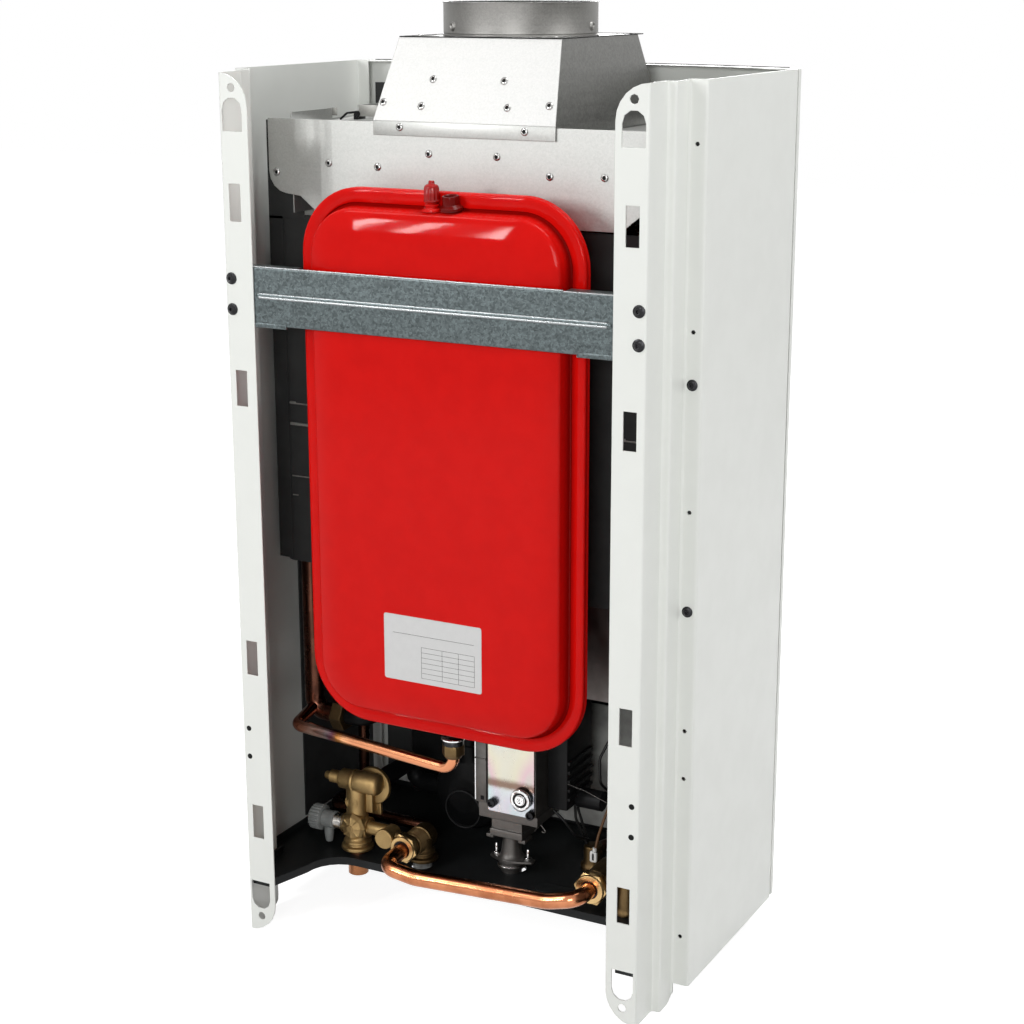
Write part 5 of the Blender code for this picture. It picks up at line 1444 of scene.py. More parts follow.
@dataclass
class Hood:
    """The draught hood, flue box and collar, with their blind rivets.

    Attributes:
        cone_foot: Half width and height of the cone's rear sheet at its foot.
        cone_top: The same at its top.
        cone_rear: Plane of the sheet at its foot.
        cone_lean: How far forward it leans by its top.
        lift: How far the sheet stands off the cone's shell.
    """

    collar_y: float = -0.1525
    collar_radius: float = 0.06
    cone_foot: tuple = (0.0777, 0.6722)
    cone_top: tuple = (0.0692, 0.7337)
    cone_rear: float = -0.0587
    cone_lean: float = 0.0268
    lift: float = 0.0004
    plate_rivets: tuple = (
        (0.169, 0.6292), (0.12, 0.6382), (0.0754, 0.637), (0.03, 0.6485),
        (-0.0283, 0.6486), (-0.0724, 0.6358), (-0.1169, 0.637), (-0.169, 0.6292),
    )
    cone_rivets: tuple = (
        (0.0321, 0.7032), (-0.0286, 0.7031), (0.0379, 0.6836), (-0.0354, 0.6842),
        (0.0719, 0.6857), (-0.0696, 0.6865),
    )
    fasteners: Fasteners = field(default_factory=Fasteners)

    def build(self) -> None:
        """Builds and dresses the hood."""
        carried("hood_rear_plate", HOOD_ZINC)
        carried("hood_body", HOOD_ZINC)
        # The cone's shell is in a darker zinc: painted shade on its sides.
        carried("hood_cone", CONE_SHADE_ZINC)
        dressed(ALUMINISED, "draught_baffle")
        self.stays()
        self.cone_sheet()
        self.collar()
        self.rivets()

    def stays(self) -> None:
        """Builds the black wire stay and the two short grey sheets beside the flue box."""
        y = -0.12
        wire = [(0.147, y, 0.6672), (0.1405, y, 0.6722), (0.125, y, 0.6742), (0.1318, y, 0.6682)]
        stay = Shape().tube(wire, 0.0009, 0.0016, 3)
        stay.block((0.1305, 0.1345), (y - 0.012, y), (0.6672, 0.6735), 0.0004)
        stay.piece("hood_stay", BLACK_SCREW_AND_SHADE)
        thick = (y - 0.0005, y + 0.0005)
        sheets = Shape().block((0.112, 0.129), thick, (0.67, 0.679), 0.0002)
        sheets.block((0.15, 0.1545), thick, (0.67, 0.6762), 0.0002)
        sheets.piece("hood_stay_sheets", ALUMINISED)

    def cone_y(self, z: float) -> float:
        """The plane of the cone's sloping rear sheet at a height."""
        share = (z - self.cone_foot[1]) / (self.cone_top[1] - self.cone_foot[1])
        return self.cone_rear - self.cone_lean * share

    def cone_sheet(self) -> None:
        """Builds the sloping rear sheet in a brighter zinc that paints the light on it, the strip that fixes
        it and a black line round the lid that paints the shade in its gap.
        """
        bm = bmesh.new()
        (foot, low), (top, high) = self.cone_foot, self.cone_top
        corners = ((foot, low), (top, high), (-top, high), (-foot, low))
        bm.faces.new([bm.verts.new((x, self.cone_y(z) + self.lift, z)) for x, z in corners])
        grown = bmesh.ops.extrude_face_region(bm, geom=list(bm.faces))
        verts = [item for item in grown["geom"] if isinstance(item, bmesh.types.BMVert)]
        bmesh.ops.translate(bm, verts=verts, vec=(0, -0.0008, 0))
        shape = Shape().take(bm)
        shape.piece("cone_rear_lit_sheet", CONE_LIT_FACE_ZINC, sharp=20)
        strip = Shape().block((-foot, foot), (-0.0595, -0.0583), (0.6614, 0.6721), 0.0002)
        strip.piece("cone_fixing_strip", HOOD_ZINC)
        half, rear, front = 0.069, -0.0847, -0.2298
        around = ((0, rear), (half, rear), (half, front), (-half, front), (-half, rear), (0, rear))
        # Painted shade: a black tube round the lid for the shade in its gap.
        gap = Shape().tube([(x, y, high) for x, y in around], 0.0004, 0.0008, 2)
        gap.piece("cone_lid_gap_shade", INK_AND_PAINTED_SHADE)

    def collar(self) -> None:
        """Builds the plain rolled spigot with a narrow groove at its foot and two dimples."""
        r = self.collar_radius
        foot = 0.734
        profile = [(r - 0.0012, foot), (r + 0.0006, foot), (r + 0.0006, foot + 0.0006)]
        profile += [(r - 0.0004, foot + 0.0008), (r - 0.0004, foot + 0.0015), (r, foot + 0.0018)]
        profile += [(r, 0.758), (r + 0.0004, 0.7586), (r + 0.0006, 0.7592), (r - 0.0022, 0.7592)]
        profile += [(r - 0.0014, 0.7582), (r - 0.0012, 0.757)]
        shape = Shape().turned(profile, (0, self.collar_y, 0), steps=128)
        for angle in (58, 182):
            outward = (cos(radians(angle)), sin(radians(angle)), 0.0)
            place = (outward[0] * r, self.collar_y + outward[1] * r, 0.7412)
            dimple = [(0, 0.0003), (0.0008, 0.0004), (0.0018, 0.0013), (0.0024, 0.0015), (0.003, 0.001)]
            dimple += [(0.0036, 0.0), (0.0036, -0.0008), (0, -0.0008)]
            shape.turned(dimple, place, steps=24, turn=self.fasteners.facing(outward))
        shape.piece("flue_collar_rolled", COLLAR_ZINC, stands_for=("flue_collar",), sharp=50)

    def rivets(self) -> None:
        """Adds the rivets of the rear plate, the flue box and the edges of its lid."""
        heads, hole_shades = Shape(), Shape()
        spots = [((x, -0.06, z), (0, 1, 0), 1.0) for x, z in self.plate_rivets]
        spots += [((x, -0.0583, 0.6678), (0, 1, 0), 1.0) for x in (0.0544, -0.0524)]
        slope = tuple(Vector((0, self.cone_top[1] - self.cone_foot[1], self.cone_lean)).normalized())
        spots += [((x, self.cone_y(z) + self.lift, z), slope, 1.0) for x, z in self.cone_rivets]
        side = tuple(Vector((-0.99, 0, 0.14)).normalized())
        spots += [((-0.0692, -0.0895, 0.7245), side, 0.5), ((-0.0692, -0.215, 0.7245), side, 0.5)]
        spots += [((x, -0.0895, 0.7347), (0, 0, 1), 0.55) for x in (0.0537, -0.0624)]
        for place, normal, size in spots:
            self.fasteners.rivet(heads, place, normal, size)
            self.fasteners.hole_shade(hole_shades, place, normal, size)
        heads.piece("hood_rivets", RIVET_METAL)
        hole_shades.piece("hood_rivet_hole_shades", INK_AND_PAINTED_SHADE)


@dataclass
class Chamber:
    """The combustion chamber, burner and heat exchanger."""

    sheet_y: float = -0.0799

    def build(self) -> None:
        """Dresses the chamber's sheets and boards, the burner and the exchanger."""
        # The chamber's rear panel is in the dark sheet: painted shade behind the vessel.
        carried("chamber_rear_panel", SHADE_SHEET)
        self.side_strips()
        carried("heat_exchanger", COPPER)
        carried("burner", BURNER_STEEL)
        carried("gas_manifold", BRASS_TURNED)
        for node in ("chamber_walls", "chamber_front_panel"):
            carried(node, ALUMINISED)
        carried("chamber_insulation", FIBRE)
        for node in ("ignition_electrode", "flame_electrode"):
            carried(node, PALE_PLASTIC)

    def side_strips(self) -> None:
        """Adds the dark edge strips that close the back to the side sheets, which paint the shade that falls
        there under the hood plate, and their pressed ribs.
        """
        strips, ribs = Shape(), Shape()
        for side in (1, -1):
            span = sorted((side * 0.1575, side * 0.1915))
            strips.block(tuple(span), (self.sheet_y - 0.0006, self.sheet_y), (0.59, 0.668))
            span = sorted((side * 0.1785, side * 0.1915))
            strips.block(tuple(span), (self.sheet_y - 0.0006, self.sheet_y), (0.306, 0.592))
            span = sorted((side * 0.126, side * 0.1765))
            for z, radius in ((0.4395, 0.0013), (0.4217, 0.0013), (0.3774, 0.0006), (0.3611, 0.0006)):
                ribs.tube([(span[0], self.sheet_y, z), (span[1], self.sheet_y, z)], radius, [], 4)
        strips.piece("chamber_edge_shade_strips", SHADE_SHEET)
        ribs.piece("chamber_pressed_ribs", ALUMINISED)


@dataclass
class GasTrain:
    """The gas valve, its plate and coil, the inlet flange, the wires and the pipe to the burner.

    Attributes:
        valve_x: Where the pipe to the burner leaves the valve, across.
        inlet: Where the inlet tube stands, across and deep.
        wire_runs: Path of each black wire.
    """

    valve_x: float = -0.012
    inlet: tuple = (-0.0105, -0.115)
    wire_runs: tuple = (
        ((-0.05, -0.16, 0.176), (-0.056, -0.15, 0.14), (-0.0556, -0.15, 0.098), (-0.064, -0.152, 0.07)),
        ((-0.048, -0.158, 0.172), (-0.0536, -0.145, 0.136), (-0.0557, -0.145, 0.092), (-0.065, -0.148, 0.069)),
        ((-0.089, -0.15, 0.176), (-0.08, -0.14, 0.152), (-0.0805, -0.14, 0.13), (-0.09, -0.16, 0.108)),
        ((-0.0415, -0.13, 0.1028), (-0.052, -0.132, 0.093), (-0.06, -0.136, 0.08), (-0.066, -0.15, 0.072)),
    )

    def build(self) -> None:
        """Builds and dresses the gas side."""
        carried("gas_valve_body", DIE_CAST)
        carried("gas_valve_plate", CHROMATE)
        x = self.valve_x
        corners = [(x, -0.132, 0.2148), (x, -0.132, 0.2265), (x, -0.196, 0.2265), (x, -0.222, 0.2275)]
        corners.append((x, -0.222, 0.2357))
        Shape().tube(corners, 0.0065, 0.0075).piece("burner_feed_pipe", COPPER, stands_for=("gas_pipe",))
        route = [(-0.0824, -0.15, 0.112), (-0.096, -0.15, 0.112), (-0.098, -0.18, 0.104)]
        route.append((-0.098, -0.2001, 0.104))
        loom = Shape().tube(route, 0.0024, [0.009, 0.008], 4)
        loom.piece("valve_loom", RUBBER, stands_for=("gas_valve_cable",))
        self.coil()
        self.inlet_flange()
        self.face_details()
        self.pressure_screw()
        self.wires()

    def coil(self) -> None:
        """Builds the slim black coil housing with its ribs and plug on the side of the valve."""
        shape = Shape().block((-0.06, -0.0415), (-0.166, -0.12), (0.108, 0.199), 0.0015)
        for index in range(5):
            z = 0.118 + index * 0.008
            shape.block((-0.062, -0.0595), (-0.165, -0.121), (z - 0.0014, z + 0.0014), 0.0005)
        plug = [(0, 0.0415), (0.0085, 0.0415), (0.0085, 0.064), (0.007, 0.0665), (0, 0.0665)]
        shape.turned(plug, (-0.124, -0.143, 0.113), Axis.X)
        shape.block((-0.0824, -0.0595), (-0.155, -0.145), (0.108, 0.117), 0.001)
        shape.piece("gas_valve_coil_housing", BLACK_PLASTIC, stands_for=("gas_valve_coil",))

    def inlet_flange(self) -> None:
        """Builds the flared inlet tube on its eared flange with two studs."""
        x, y = self.inlet
        tube = [(0.0056, 0.027), (0.0084, 0.027), (0.0087, 0.0275), (0.0087, 0.0515), (0.0118, 0.0515)]
        tube += [(0.012, 0.0535), (0.0108, 0.0545), (0.0108, 0.0562), (0.0118, 0.0568), (0.0118, 0.06)]
        tube += [(0.0098, 0.0614), (0.0088, 0.065), (0.0076, 0.074), (0.0072, 0.0822)]
        tube += [(0.0056, 0.0822), (0.0056, 0.047)]
        body = Shape().turned(tube, (x, y, 0), steps=48)
        half = ((0.019, 0.0034), (0.005, 0.0104), (-0.005, 0.0104), (-0.021, 0.0034))
        ears = [(x + across, y + deep) for across, deep in half]
        ears += [(x + across, y - deep) for across, deep in half[::-1]]
        body.plate(ears, Axis.Z, 0.0568, 0.0594, 0.0008)
        body.piece("gas_inlet_cast", DIE_CAST, stands_for=("gas_inlet",))
        studs = Shape()
        for offset in (0.0145, -0.0155):
            stud = [(0, 0.0594), (0.0028, 0.0594), (0.0028, 0.0614), (0.0011, 0.0618)]
            stud += [(0.0011, 0.0685), (0.0007, 0.069), (0, 0.069)]
            studs.turned(stud, (x + offset, y, 0), steps=18)
        ring = [(0.0119, 0.0), (0.0125, 0.0006), (0.0119, 0.0012)]
        studs.turned(ring, (x, y, 0.0536), steps=48)
        studs.piece("gas_inlet_studs", CHROME_AND_HIGHLIGHT)

    def face_details(self) -> None:
        """Adds the valve's edge strip with a chrome rod along it that paints the highlight of its edge, the
        two lugs, a black patch that paints the shade in the sight hole, and the bolts.
        """
        strip = Shape().block((0.0042, 0.0142), (-0.0995, -0.0975), (0.1115, 0.1995), 0.0006)
        strip.block((0.0042, 0.015), (-0.0992, -0.0966), (0.15, 0.1512), 0.0003)
        for x in (-0.027, 0.003):
            strip.block((x - 0.0035, x + 0.0035), (-0.115, -0.101), (0.0795, 0.083), 0.0008)
        strip.piece("valve_edge_strip", DIE_CAST)
        edge = Shape().tube([(0.0146, -0.0982, 0.113), (0.0146, -0.0982, 0.199)], 0.0008, [], 3)
        edge.piece("valve_edge_painted_highlight", CHROME_AND_HIGHLIGHT)
        # Painted shade: a black patch for the shade inside the sight hole.
        hole = Shape().block((0.0062, 0.0094), (-0.0976, -0.0972), (0.1141, 0.1175))
        hole.piece("valve_sight_hole_shade", INK_AND_PAINTED_SHADE)
        bolts = Shape()
        for x, z in ((-0.0026, 0.1142), (-0.0386, 0.11)):
            head = [(0, 0.0022), (0.002, 0.0022), (0.0024, 0.004), (0.0034, 0.004)]
            head += [(0.0038, 0.0034), (0.0038, 0.0), (0, 0.0)]
            bolts.turned(head, (x, -0.0964, z), Axis.Y, steps=24)
        bolts.piece("valve_face_bolts", BLACK_SCREW_AND_SHADE)

    def pressure_screw(self) -> None:
        """Adds the bright pressure screw with a black ring that paints the shade in its groove, and its star
        recess.
        """
        place = (-0.03, -0.0934, 0.1225)
        ring = [(0.0062, 0.0), (0.0066, 0.0012), (0.0078, 0.0016), (0.0088, 0.0012)]
        ring += [(0.0093, 0.0), (0.0093, -0.001), (0.0062, -0.001)]
        shape = Shape().turned(ring, place, Axis.Y, steps=48)
        core = [(0, 0.0004), (0.001, 0.0008), (0.0024, 0.0022), (0.004, 0.0022)]
        core += [(0.0048, 0.0012), (0.005, -0.001), (0, -0.001)]
        shape.turned(core, place, Axis.Y, steps=48)
        corners = ((0.0022, 0.0003), (-0.0022, 0.0003), (-0.0022, -0.0003), (0.0022, -0.0003))
        for index in range(3):
            angle = pi / 3 * index
            bar = [
                (u * cos(angle) - v * sin(angle) + place[0], u * sin(angle) + v * cos(angle) + place[2])
                for u, v in corners
            ]
            shape.plate(bar, Axis.Y, place[1], place[1] + 0.0015)
        shape.piece("pressure_screw", CHROME_AND_HIGHLIGHT)
        groove = [(0, 0.0002), (0.0064, 0.0002), (0.0064, -0.0006), (0, -0.0006)]
        Shape().turned(groove, place, Axis.Y, steps=48).piece("pressure_screw_groove_shade", INK_AND_PAINTED_SHADE)

    def wires(self) -> None:
        """Adds the fixed wires between the valve, the box and the sensor terminal."""
        black = Shape()
        for run in self.wire_runs:
            black.tube(list(run), 0.0012, 0.01, 3)
        black.piece("valve_wires", WIRE_BLACK)
        thin = [(-0.06, -0.12, 0.1329), (-0.076, -0.12, 0.13), (-0.096, -0.121, 0.1228)]
        fine = Shape().tube(thin, 0.0003, 0.02, 2)
        hook = [(-0.0324, -0.115, 0.087), (-0.0373, -0.115, 0.0945), (-0.0448, -0.115, 0.0866)]
        hook.append((-0.039, -0.115, 0.088))
        fine.tube(hook, 0.0006, 0.0012, 3)
        fine.piece("valve_fine_wire_and_clip", DIE_CAST)
        brown = [(-0.115, -0.088, 0.14), (-0.1109, -0.085, 0.127), (-0.1062, -0.084, 0.1115)]
        brown.append((-0.1037, -0.083, 0.0985))
        Shape().tube(brown, 0.0011, 0.008, 3).piece("sensor_wire", WIRE_BROWN)
        outline = rounded_box((-0.1026, 0.0925), 0.003, 0.0048, 0.0014)
        sleeve = Shape().plate(outline, Axis.Y, -0.0836, -0.0812, 0.0005)
        neck = [(0, 0.0), (0.0018, 0.0), (0.0016, 0.0035), (0, 0.0035)]
        sleeve.turned(neck, (-0.1034, -0.0826, 0.0965), steps=16)
        sleeve.piece("sensor_terminal_sleeve", PALE_PLASTIC)
        tab = Shape().block((-0.1034, -0.1018), (-0.0812, -0.0808), (0.0895, 0.0955), 0.0002)
        tab.piece("sensor_terminal_tab", INK_AND_PAINTED_SHADE)


@dataclass
class WaterSide:
    """The brass groups, copper pipes, pump and drain cock.

    Attributes:
        cross_z: Height of the barrels that cross the return group.
        riser_top: Height at which the pipes turn into the heat exchanger.
        port_x: Where they enter it, to each side.
    """

    return_column: tuple = (0.1255, -0.0875)
    cold_column: tuple = (0.064, -0.0935)
    cross_z: float = 0.071
    riser_top: float = 0.556
    port_x: float = 0.1604

    def build(self) -> None:
        """Builds and dresses the water side."""
        self.return_group()
        self.cold_group()
        self.drain_cock()
        self.union_nuts()
        # The flow group, hot outlet elbow and pump union nut are in the darker brass: painted shade.
        carried("flow_group", BRASS_SHADE)
        carried("hot_outlet_elbow", BRASS_SHADE)
        carried("pump_union_nut", BRASS_SHADE)
        carried("safety_valve_knob", RED_PLASTIC, Body.SAFETY_KNOB)
        carried("pump_rotor", STAINLESS, Body.ROTOR)
        for node in ("pump_volute", "pump_motor", "pump_outlet_tube"):
            carried(node, BLACK_MOTOR)
        ring = [(0.0158, 0.0), (0.016, 0.0012), (0.0166, 0.0014), (0.0172, 0.001)]
        ring += [(0.0174, -0.002), (0.0158, -0.002)]
        port = Shape().turned(ring, (0.039, -0.12, 0.0905), Axis.Y, steps=56)
        port.piece("pump_port_ring", BLACK_PLASTIC)
        self.pipes()

    def tail(self, name: str, x: float, y: float, finish: Finish) -> None:
        """Builds the bored connection tail that hangs below the tray.

        Args:
            name: The piece's name.
            x: Where it hangs, across.
            y: Where it hangs, deep.
            finish: Its finish.
        """
        profile = [(0, 0.0465), (0.0058, 0.0465), (0.0058, 0.027), (0.0082, 0.027)]
        profile += [(0.0087, 0.0275), (0.0087, FOOT_Z), (0, FOOT_Z)]
        Shape().turned(profile, (x, y, 0)).piece(name, finish)

    def foot(self, shape: Shape, x: float, y: float, radius: float) -> None:
        """Adds the stepped washer rings at the foot of a column.

        Args:
            shape: The shape to add them to.
            x: Where the column stands, across.
            y: Where it stands, deep.
            radius: Its radius.
        """
        r = radius
        profile = [(0, FOOT_Z), (r + 0.0042, FOOT_Z), (r + 0.0046, 0.0516), (r + 0.0044, 0.0534)]
        profile += [(r + 0.003, 0.0542), (r + 0.0016, 0.0546), (r + 0.0014, 0.0558), (r + 0.0026, 0.0566)]
        profile += [(r + 0.0026, 0.058), (r + 0.0012, 0.0592), (r, 0.0606), (0, 0.0606)]
        shape.turned(profile, (x, y, 0), steps=48)

    def return_group(self) -> None:
        """Builds the return group: column, stepped top barrel, back flange, faceted plug and test plug."""
        x, y = self.return_column
        shape = Shape()
        self.tail("return_tail", x, y, COPPER_RING)
        self.foot(shape, x, y, 0.0096)
        column = [(0, 0.058), (0.0096, 0.058), (0.0098, 0.064), (0.0098, 0.078)]
        column += [(0.0092, 0.083), (0.0094, 0.098), (0.009, 0.112), (0, 0.112)]
        shape.turned(column, (x, y, 0))
        barrel = [(0, 0.1002), (0.0046, 0.1004), (0.0074, 0.1012), (0.0088, 0.1026), (0.0095, 0.105)]
        barrel += [(0.0096, 0.1238), (0.0092, 0.1243), (0.0092, 0.125), (0.0098, 0.1255), (0.0098, 0.1272)]
        barrel += [(0.0088, 0.128), (0.0086, 0.1385), (0.0074, 0.1396), (0.0058, 0.14), (0.0058, 0.1412)]
        barrel += thread(0.005, 0.0057, 0.1416, 0.0014, 0.0007, 6)
        barrel += [(0.0048, 0.1502), (0.0036, 0.1506), (0.0034, 0.1548), (0.0026, 0.1556), (0, 0.1556)]
        shape.turned(barrel, (0, y + 0.0015, 0.1125), Axis.X, steps=48)
        shape.plate(polygon((x - 0.012, 0.107), 0.0165, 48), Axis.Y, -0.0985, -0.0938, 0.001)
        lug = rounded_box((x - 0.0125, 0.092), 0.0068, 0.0115, 0.0012)
        shape.plate(lug, Axis.Y, -0.0985, -0.095, 0.0008)
        shape.block((x - 0.015, x), (-0.0975, -0.088), (0.084, 0.113), 0.001)
        for radius in (0.0056, 0.0033):
            ring = [(radius - 0.0005, -0.0012), (radius - 0.0004, 0.0), (radius, 0.0003)]
            ring += [(radius + 0.0004, 0.0), (radius + 0.0005, -0.0012)]
            shape.turned(ring, (x + 0.001, y + 0.0096 - radius * 0.24, 0.0945), Axis.Y, steps=32)
        cross = self.cross_z
        shape.turned([(0, 0.0), (0.009, 0.0), (0.009, 0.025), (0, 0.025)], (x - 0.0125, y, cross), Axis.X)
        shape.turned([(0, 0.0), (0.0052, 0.0), (0.0052, 0.016), (0, 0.016)], (x + 0.0095, y, cross), Axis.X)
        spigot = [(0, 0.0), (0.0054, 0.0), (0.0058, 0.01), (0.0058, 0.03), (0, 0.03)]
        shape.turned(spigot, (x - 0.038, y, cross), Axis.X)
        plug = [(0, 0.009), (0.003, 0.009), (0.0036, 0.0078), (0.0098, 0.0062)]
        plug += [(0.0124, 0.003), (0.0124, -0.002), (0, -0.002)]
        faceted = Shape().turned(plug, (x - 0.001, y + 0.0066, cross + 0.002), Axis.Y, steps=8)
        for angle in (0, 45, 90, 135):
            tip = (0.0094 * cos(radians(angle)), 0.0094 * sin(radians(angle)))
            start = (x - 0.001 - tip[0], y + 0.013, cross + 0.002 - tip[1])
            end = (x - 0.001 + tip[0], y + 0.013, cross + 0.002 + tip[1])
            faceted.tube([start, end], 0.0007, [], 3)
        faceted.piece("return_group_plug", BRASS_CAST, sharp=8)
        test = [(0, 0.0), (0.008, 0.0), (0.0086, -0.0006), (0.0086, -0.0032)]
        test += [(0.0074, -0.0038), (0.0074, -0.018), (0, -0.018)]
        shape.turned(test, (0.0885, -0.0692, cross + 0.001), Axis.Y)
        shape.piece("return_group_cast", BRASS_CAST, stands_for=("return_group",), sharp=35)

    def cold_group(self) -> None:
        """Builds the cold group: its column, threaded union barrel and round back end, in the darker brass
        that paints its shade.
        """
        x, y = self.cold_column
        shape = Shape()
        self.tail("cold_tail", x, y, DRAIN_GREY)
        self.foot(shape, x, y, 0.0086)
        shape.turned([(0, 0.058), (0.0088, 0.058), (0.0084, 0.07), (0, 0.07)], (x, y, 0))
        barrel = [(0, -0.032), (0.006, -0.0316), (0.0096, -0.0296), (0.0108, -0.027)]
        barrel += [(0.011, -0.016), (0.0098, -0.0155)]
        barrel += thread(0.0098, 0.0107, -0.015, 0.0019, 0.0009, 7)
        barrel += [(0.0098, -0.0012), (0, -0.0012)]
        shape.turned(barrel, (0.0672, -0.078, 0.0675), Axis.Y, steps=48)
        link = [(0.083, -0.08, 0.0715), (0.066, -0.086, 0.069)]
        shape.tube(link, 0.0058, [], 5)
        shape.piece("cold_group_cast", BRASS_SHADE, stands_for=("cold_group",), sharp=35)

    def drain_cock(self) -> None:
        """Builds the grey drain cock with its ribbed cap and silver thread."""
        y, z = -0.088, 0.0705
        body = [(0, 0.1478), (0.0072, 0.1478), (0.0078, 0.1484), (0.0078, 0.159), (0, 0.159)]
        shape = Shape().turned(body, (0, y, z), Axis.X)
        outlet = [(0, FOOT_Z), (0.003, FOOT_Z), (0.0032, 0.0512), (0.004, 0.056)]
        outlet += [(0.0044, 0.064), (0, 0.064)]
        shape.turned(outlet, (0.1545, y + 0.001, 0))
        shape.piece("drain_cock_grey_body", DRAIN_GREY, stands_for=("drain_cock_body",))
        silver = [(0, 0.14), (0.006, 0.14), *thread(0.006, 0.0068, 0.1405, 0.0015, 0.0007, 5)]
        silver += [(0.0058, 0.1482), (0, 0.1482)]
        Shape().turned(silver, (0, y, z), Axis.X).piece("drain_cock_thread", STAINLESS)
        cap = Shape().plate(ribbed_round((y, z), 0.0111, 0.0103, 22), Axis.X, 0.1602, 0.17, 0.0002)
        base = [(0, 0.1594), (0.0084, 0.1594), (0.0098, 0.1602), (0.0098, 0.1612), (0, 0.1612)]
        end = [(0, 0.169), (0.0099, 0.169), (0.0097, 0.1706), (0.0086, 0.1716), (0, 0.1719)]
        for profile in (base, end):
            cap.turned(profile, (0, y, z), Axis.X)
        cap.piece("drain_cock_ribbed_cap", DRAIN_GREY, Body.DRAIN_CAP, ("drain_cock_cap",), sharp=30)

    def union_nuts(self) -> None:
        """Builds the two hexagon union nuts of the bypass pipe, each with a black ring in its mouth that
        paints the shade between nut and pipe.
        """
        for node, x, z, y, size, turn in (
            ("bypass_nut_right", 0.07, 0.067, -0.069, 0.0134, 14),
            ("bypass_nut_left", -0.105, 0.069, -0.0698, 0.0148, 4),
        ):
            shape = Shape().plate(polygon((x, z), size, 6, turn), Axis.Y, y - 0.0088, y - 0.0012, 0.0009)
            crown = [(0.0074, 0.0), (0.0078, 0.0008), (size * 0.8, 0.0004), (size * 0.86, -0.0016)]
            crown.append((0.0074, -0.0016))
            shape.turned(crown, (x, y, z), Axis.Y, steps=48)
            shape.piece(node + "_hexagon", BRASS_TURNED, stands_for=(node,), sharp=25)
            hole = [(0.006, 0.0), (0.0076, 0.0), (0.0076, -0.001), (0.006, -0.001)]
            Shape().turned(hole, (x, y - 0.0002, z), Axis.Y, steps=40).piece(node + "_mouth_shade", BLACK_SCREW_AND_SHADE)

    def pipes(self) -> None:
        """Builds the copper pipes round and smooth; the risers and the hot and cold pipes are in the darker
        copper that paints the shade they stand in.
        """
        bypass = [(0.07, -0.0781, 0.0668), (0.07, -0.0395, 0.064), (0.04, -0.0385, 0.0605)]
        bypass += [(-0.078, -0.0475, 0.0625), (-0.105, -0.05, 0.069), (-0.105, -0.0809, 0.069)]
        shape = Shape().tube(bypass, 0.0066, [0.0125, 0.05, 0.05, 0.0125], 8)
        shape.piece("bypass_copper_pipe", COPPER, stands_for=("bypass_pipe",))
        top, port = self.riser_top, self.port_x
        rise = [(0.1468, -0.092, 0.168), (0.169, -0.092, 0.168), (0.169, -0.092, top)]
        rise += [(0.169, -0.112, top), (port, -0.112, top)]
        shape = Shape().tube(rise, 0.0084, [0.0125, 0.0095, 0.0084])
        shape.piece("return_pipe", COPPER_SHADE, stands_for=("return_riser",))
        flow = [(-0.131, -0.088, 0.1043), (-0.131, -0.088, 0.125), (-0.168, -0.092, 0.14)]
        flow += [(-0.168, -0.092, top), (-0.168, -0.112, top), (-port, -0.112, top)]
        shape = Shape().tube(flow, 0.007, [0.012, 0.012, 0.009, 0.0074])
        shape.piece("flow_pipe", COPPER_SHADE, stands_for=("flow_riser",))
        cold = [(0.0705, -0.1104, 0.0675), (0.0705, -0.1195, 0.0675), (0.176, -0.125, 0.0655)]
        cold += [(0.176, -0.18, 0.067), (0.176, -0.18, top), (port, -0.18, top)]
        shape = Shape().tube(cold, 0.005, [0.0075, 0.012, 0.012, 0.01])
        shape.piece("cold_pipe", COPPER_SHADE, stands_for=("cold_water_pipe",))
        hot = [(-0.07, -0.1606, 0.06), (-0.07, -0.178, 0.06), (-0.176, -0.18, 0.0605)]
        hot += [(-0.176, -0.18, top), (-port, -0.18, top)]
        shape = Shape().tube(hot, 0.005, [0.012, 0.012, 0.01])
        shape.piece("hot_pipe", COPPER_SHADE, stands_for=("hot_water_pipe",))


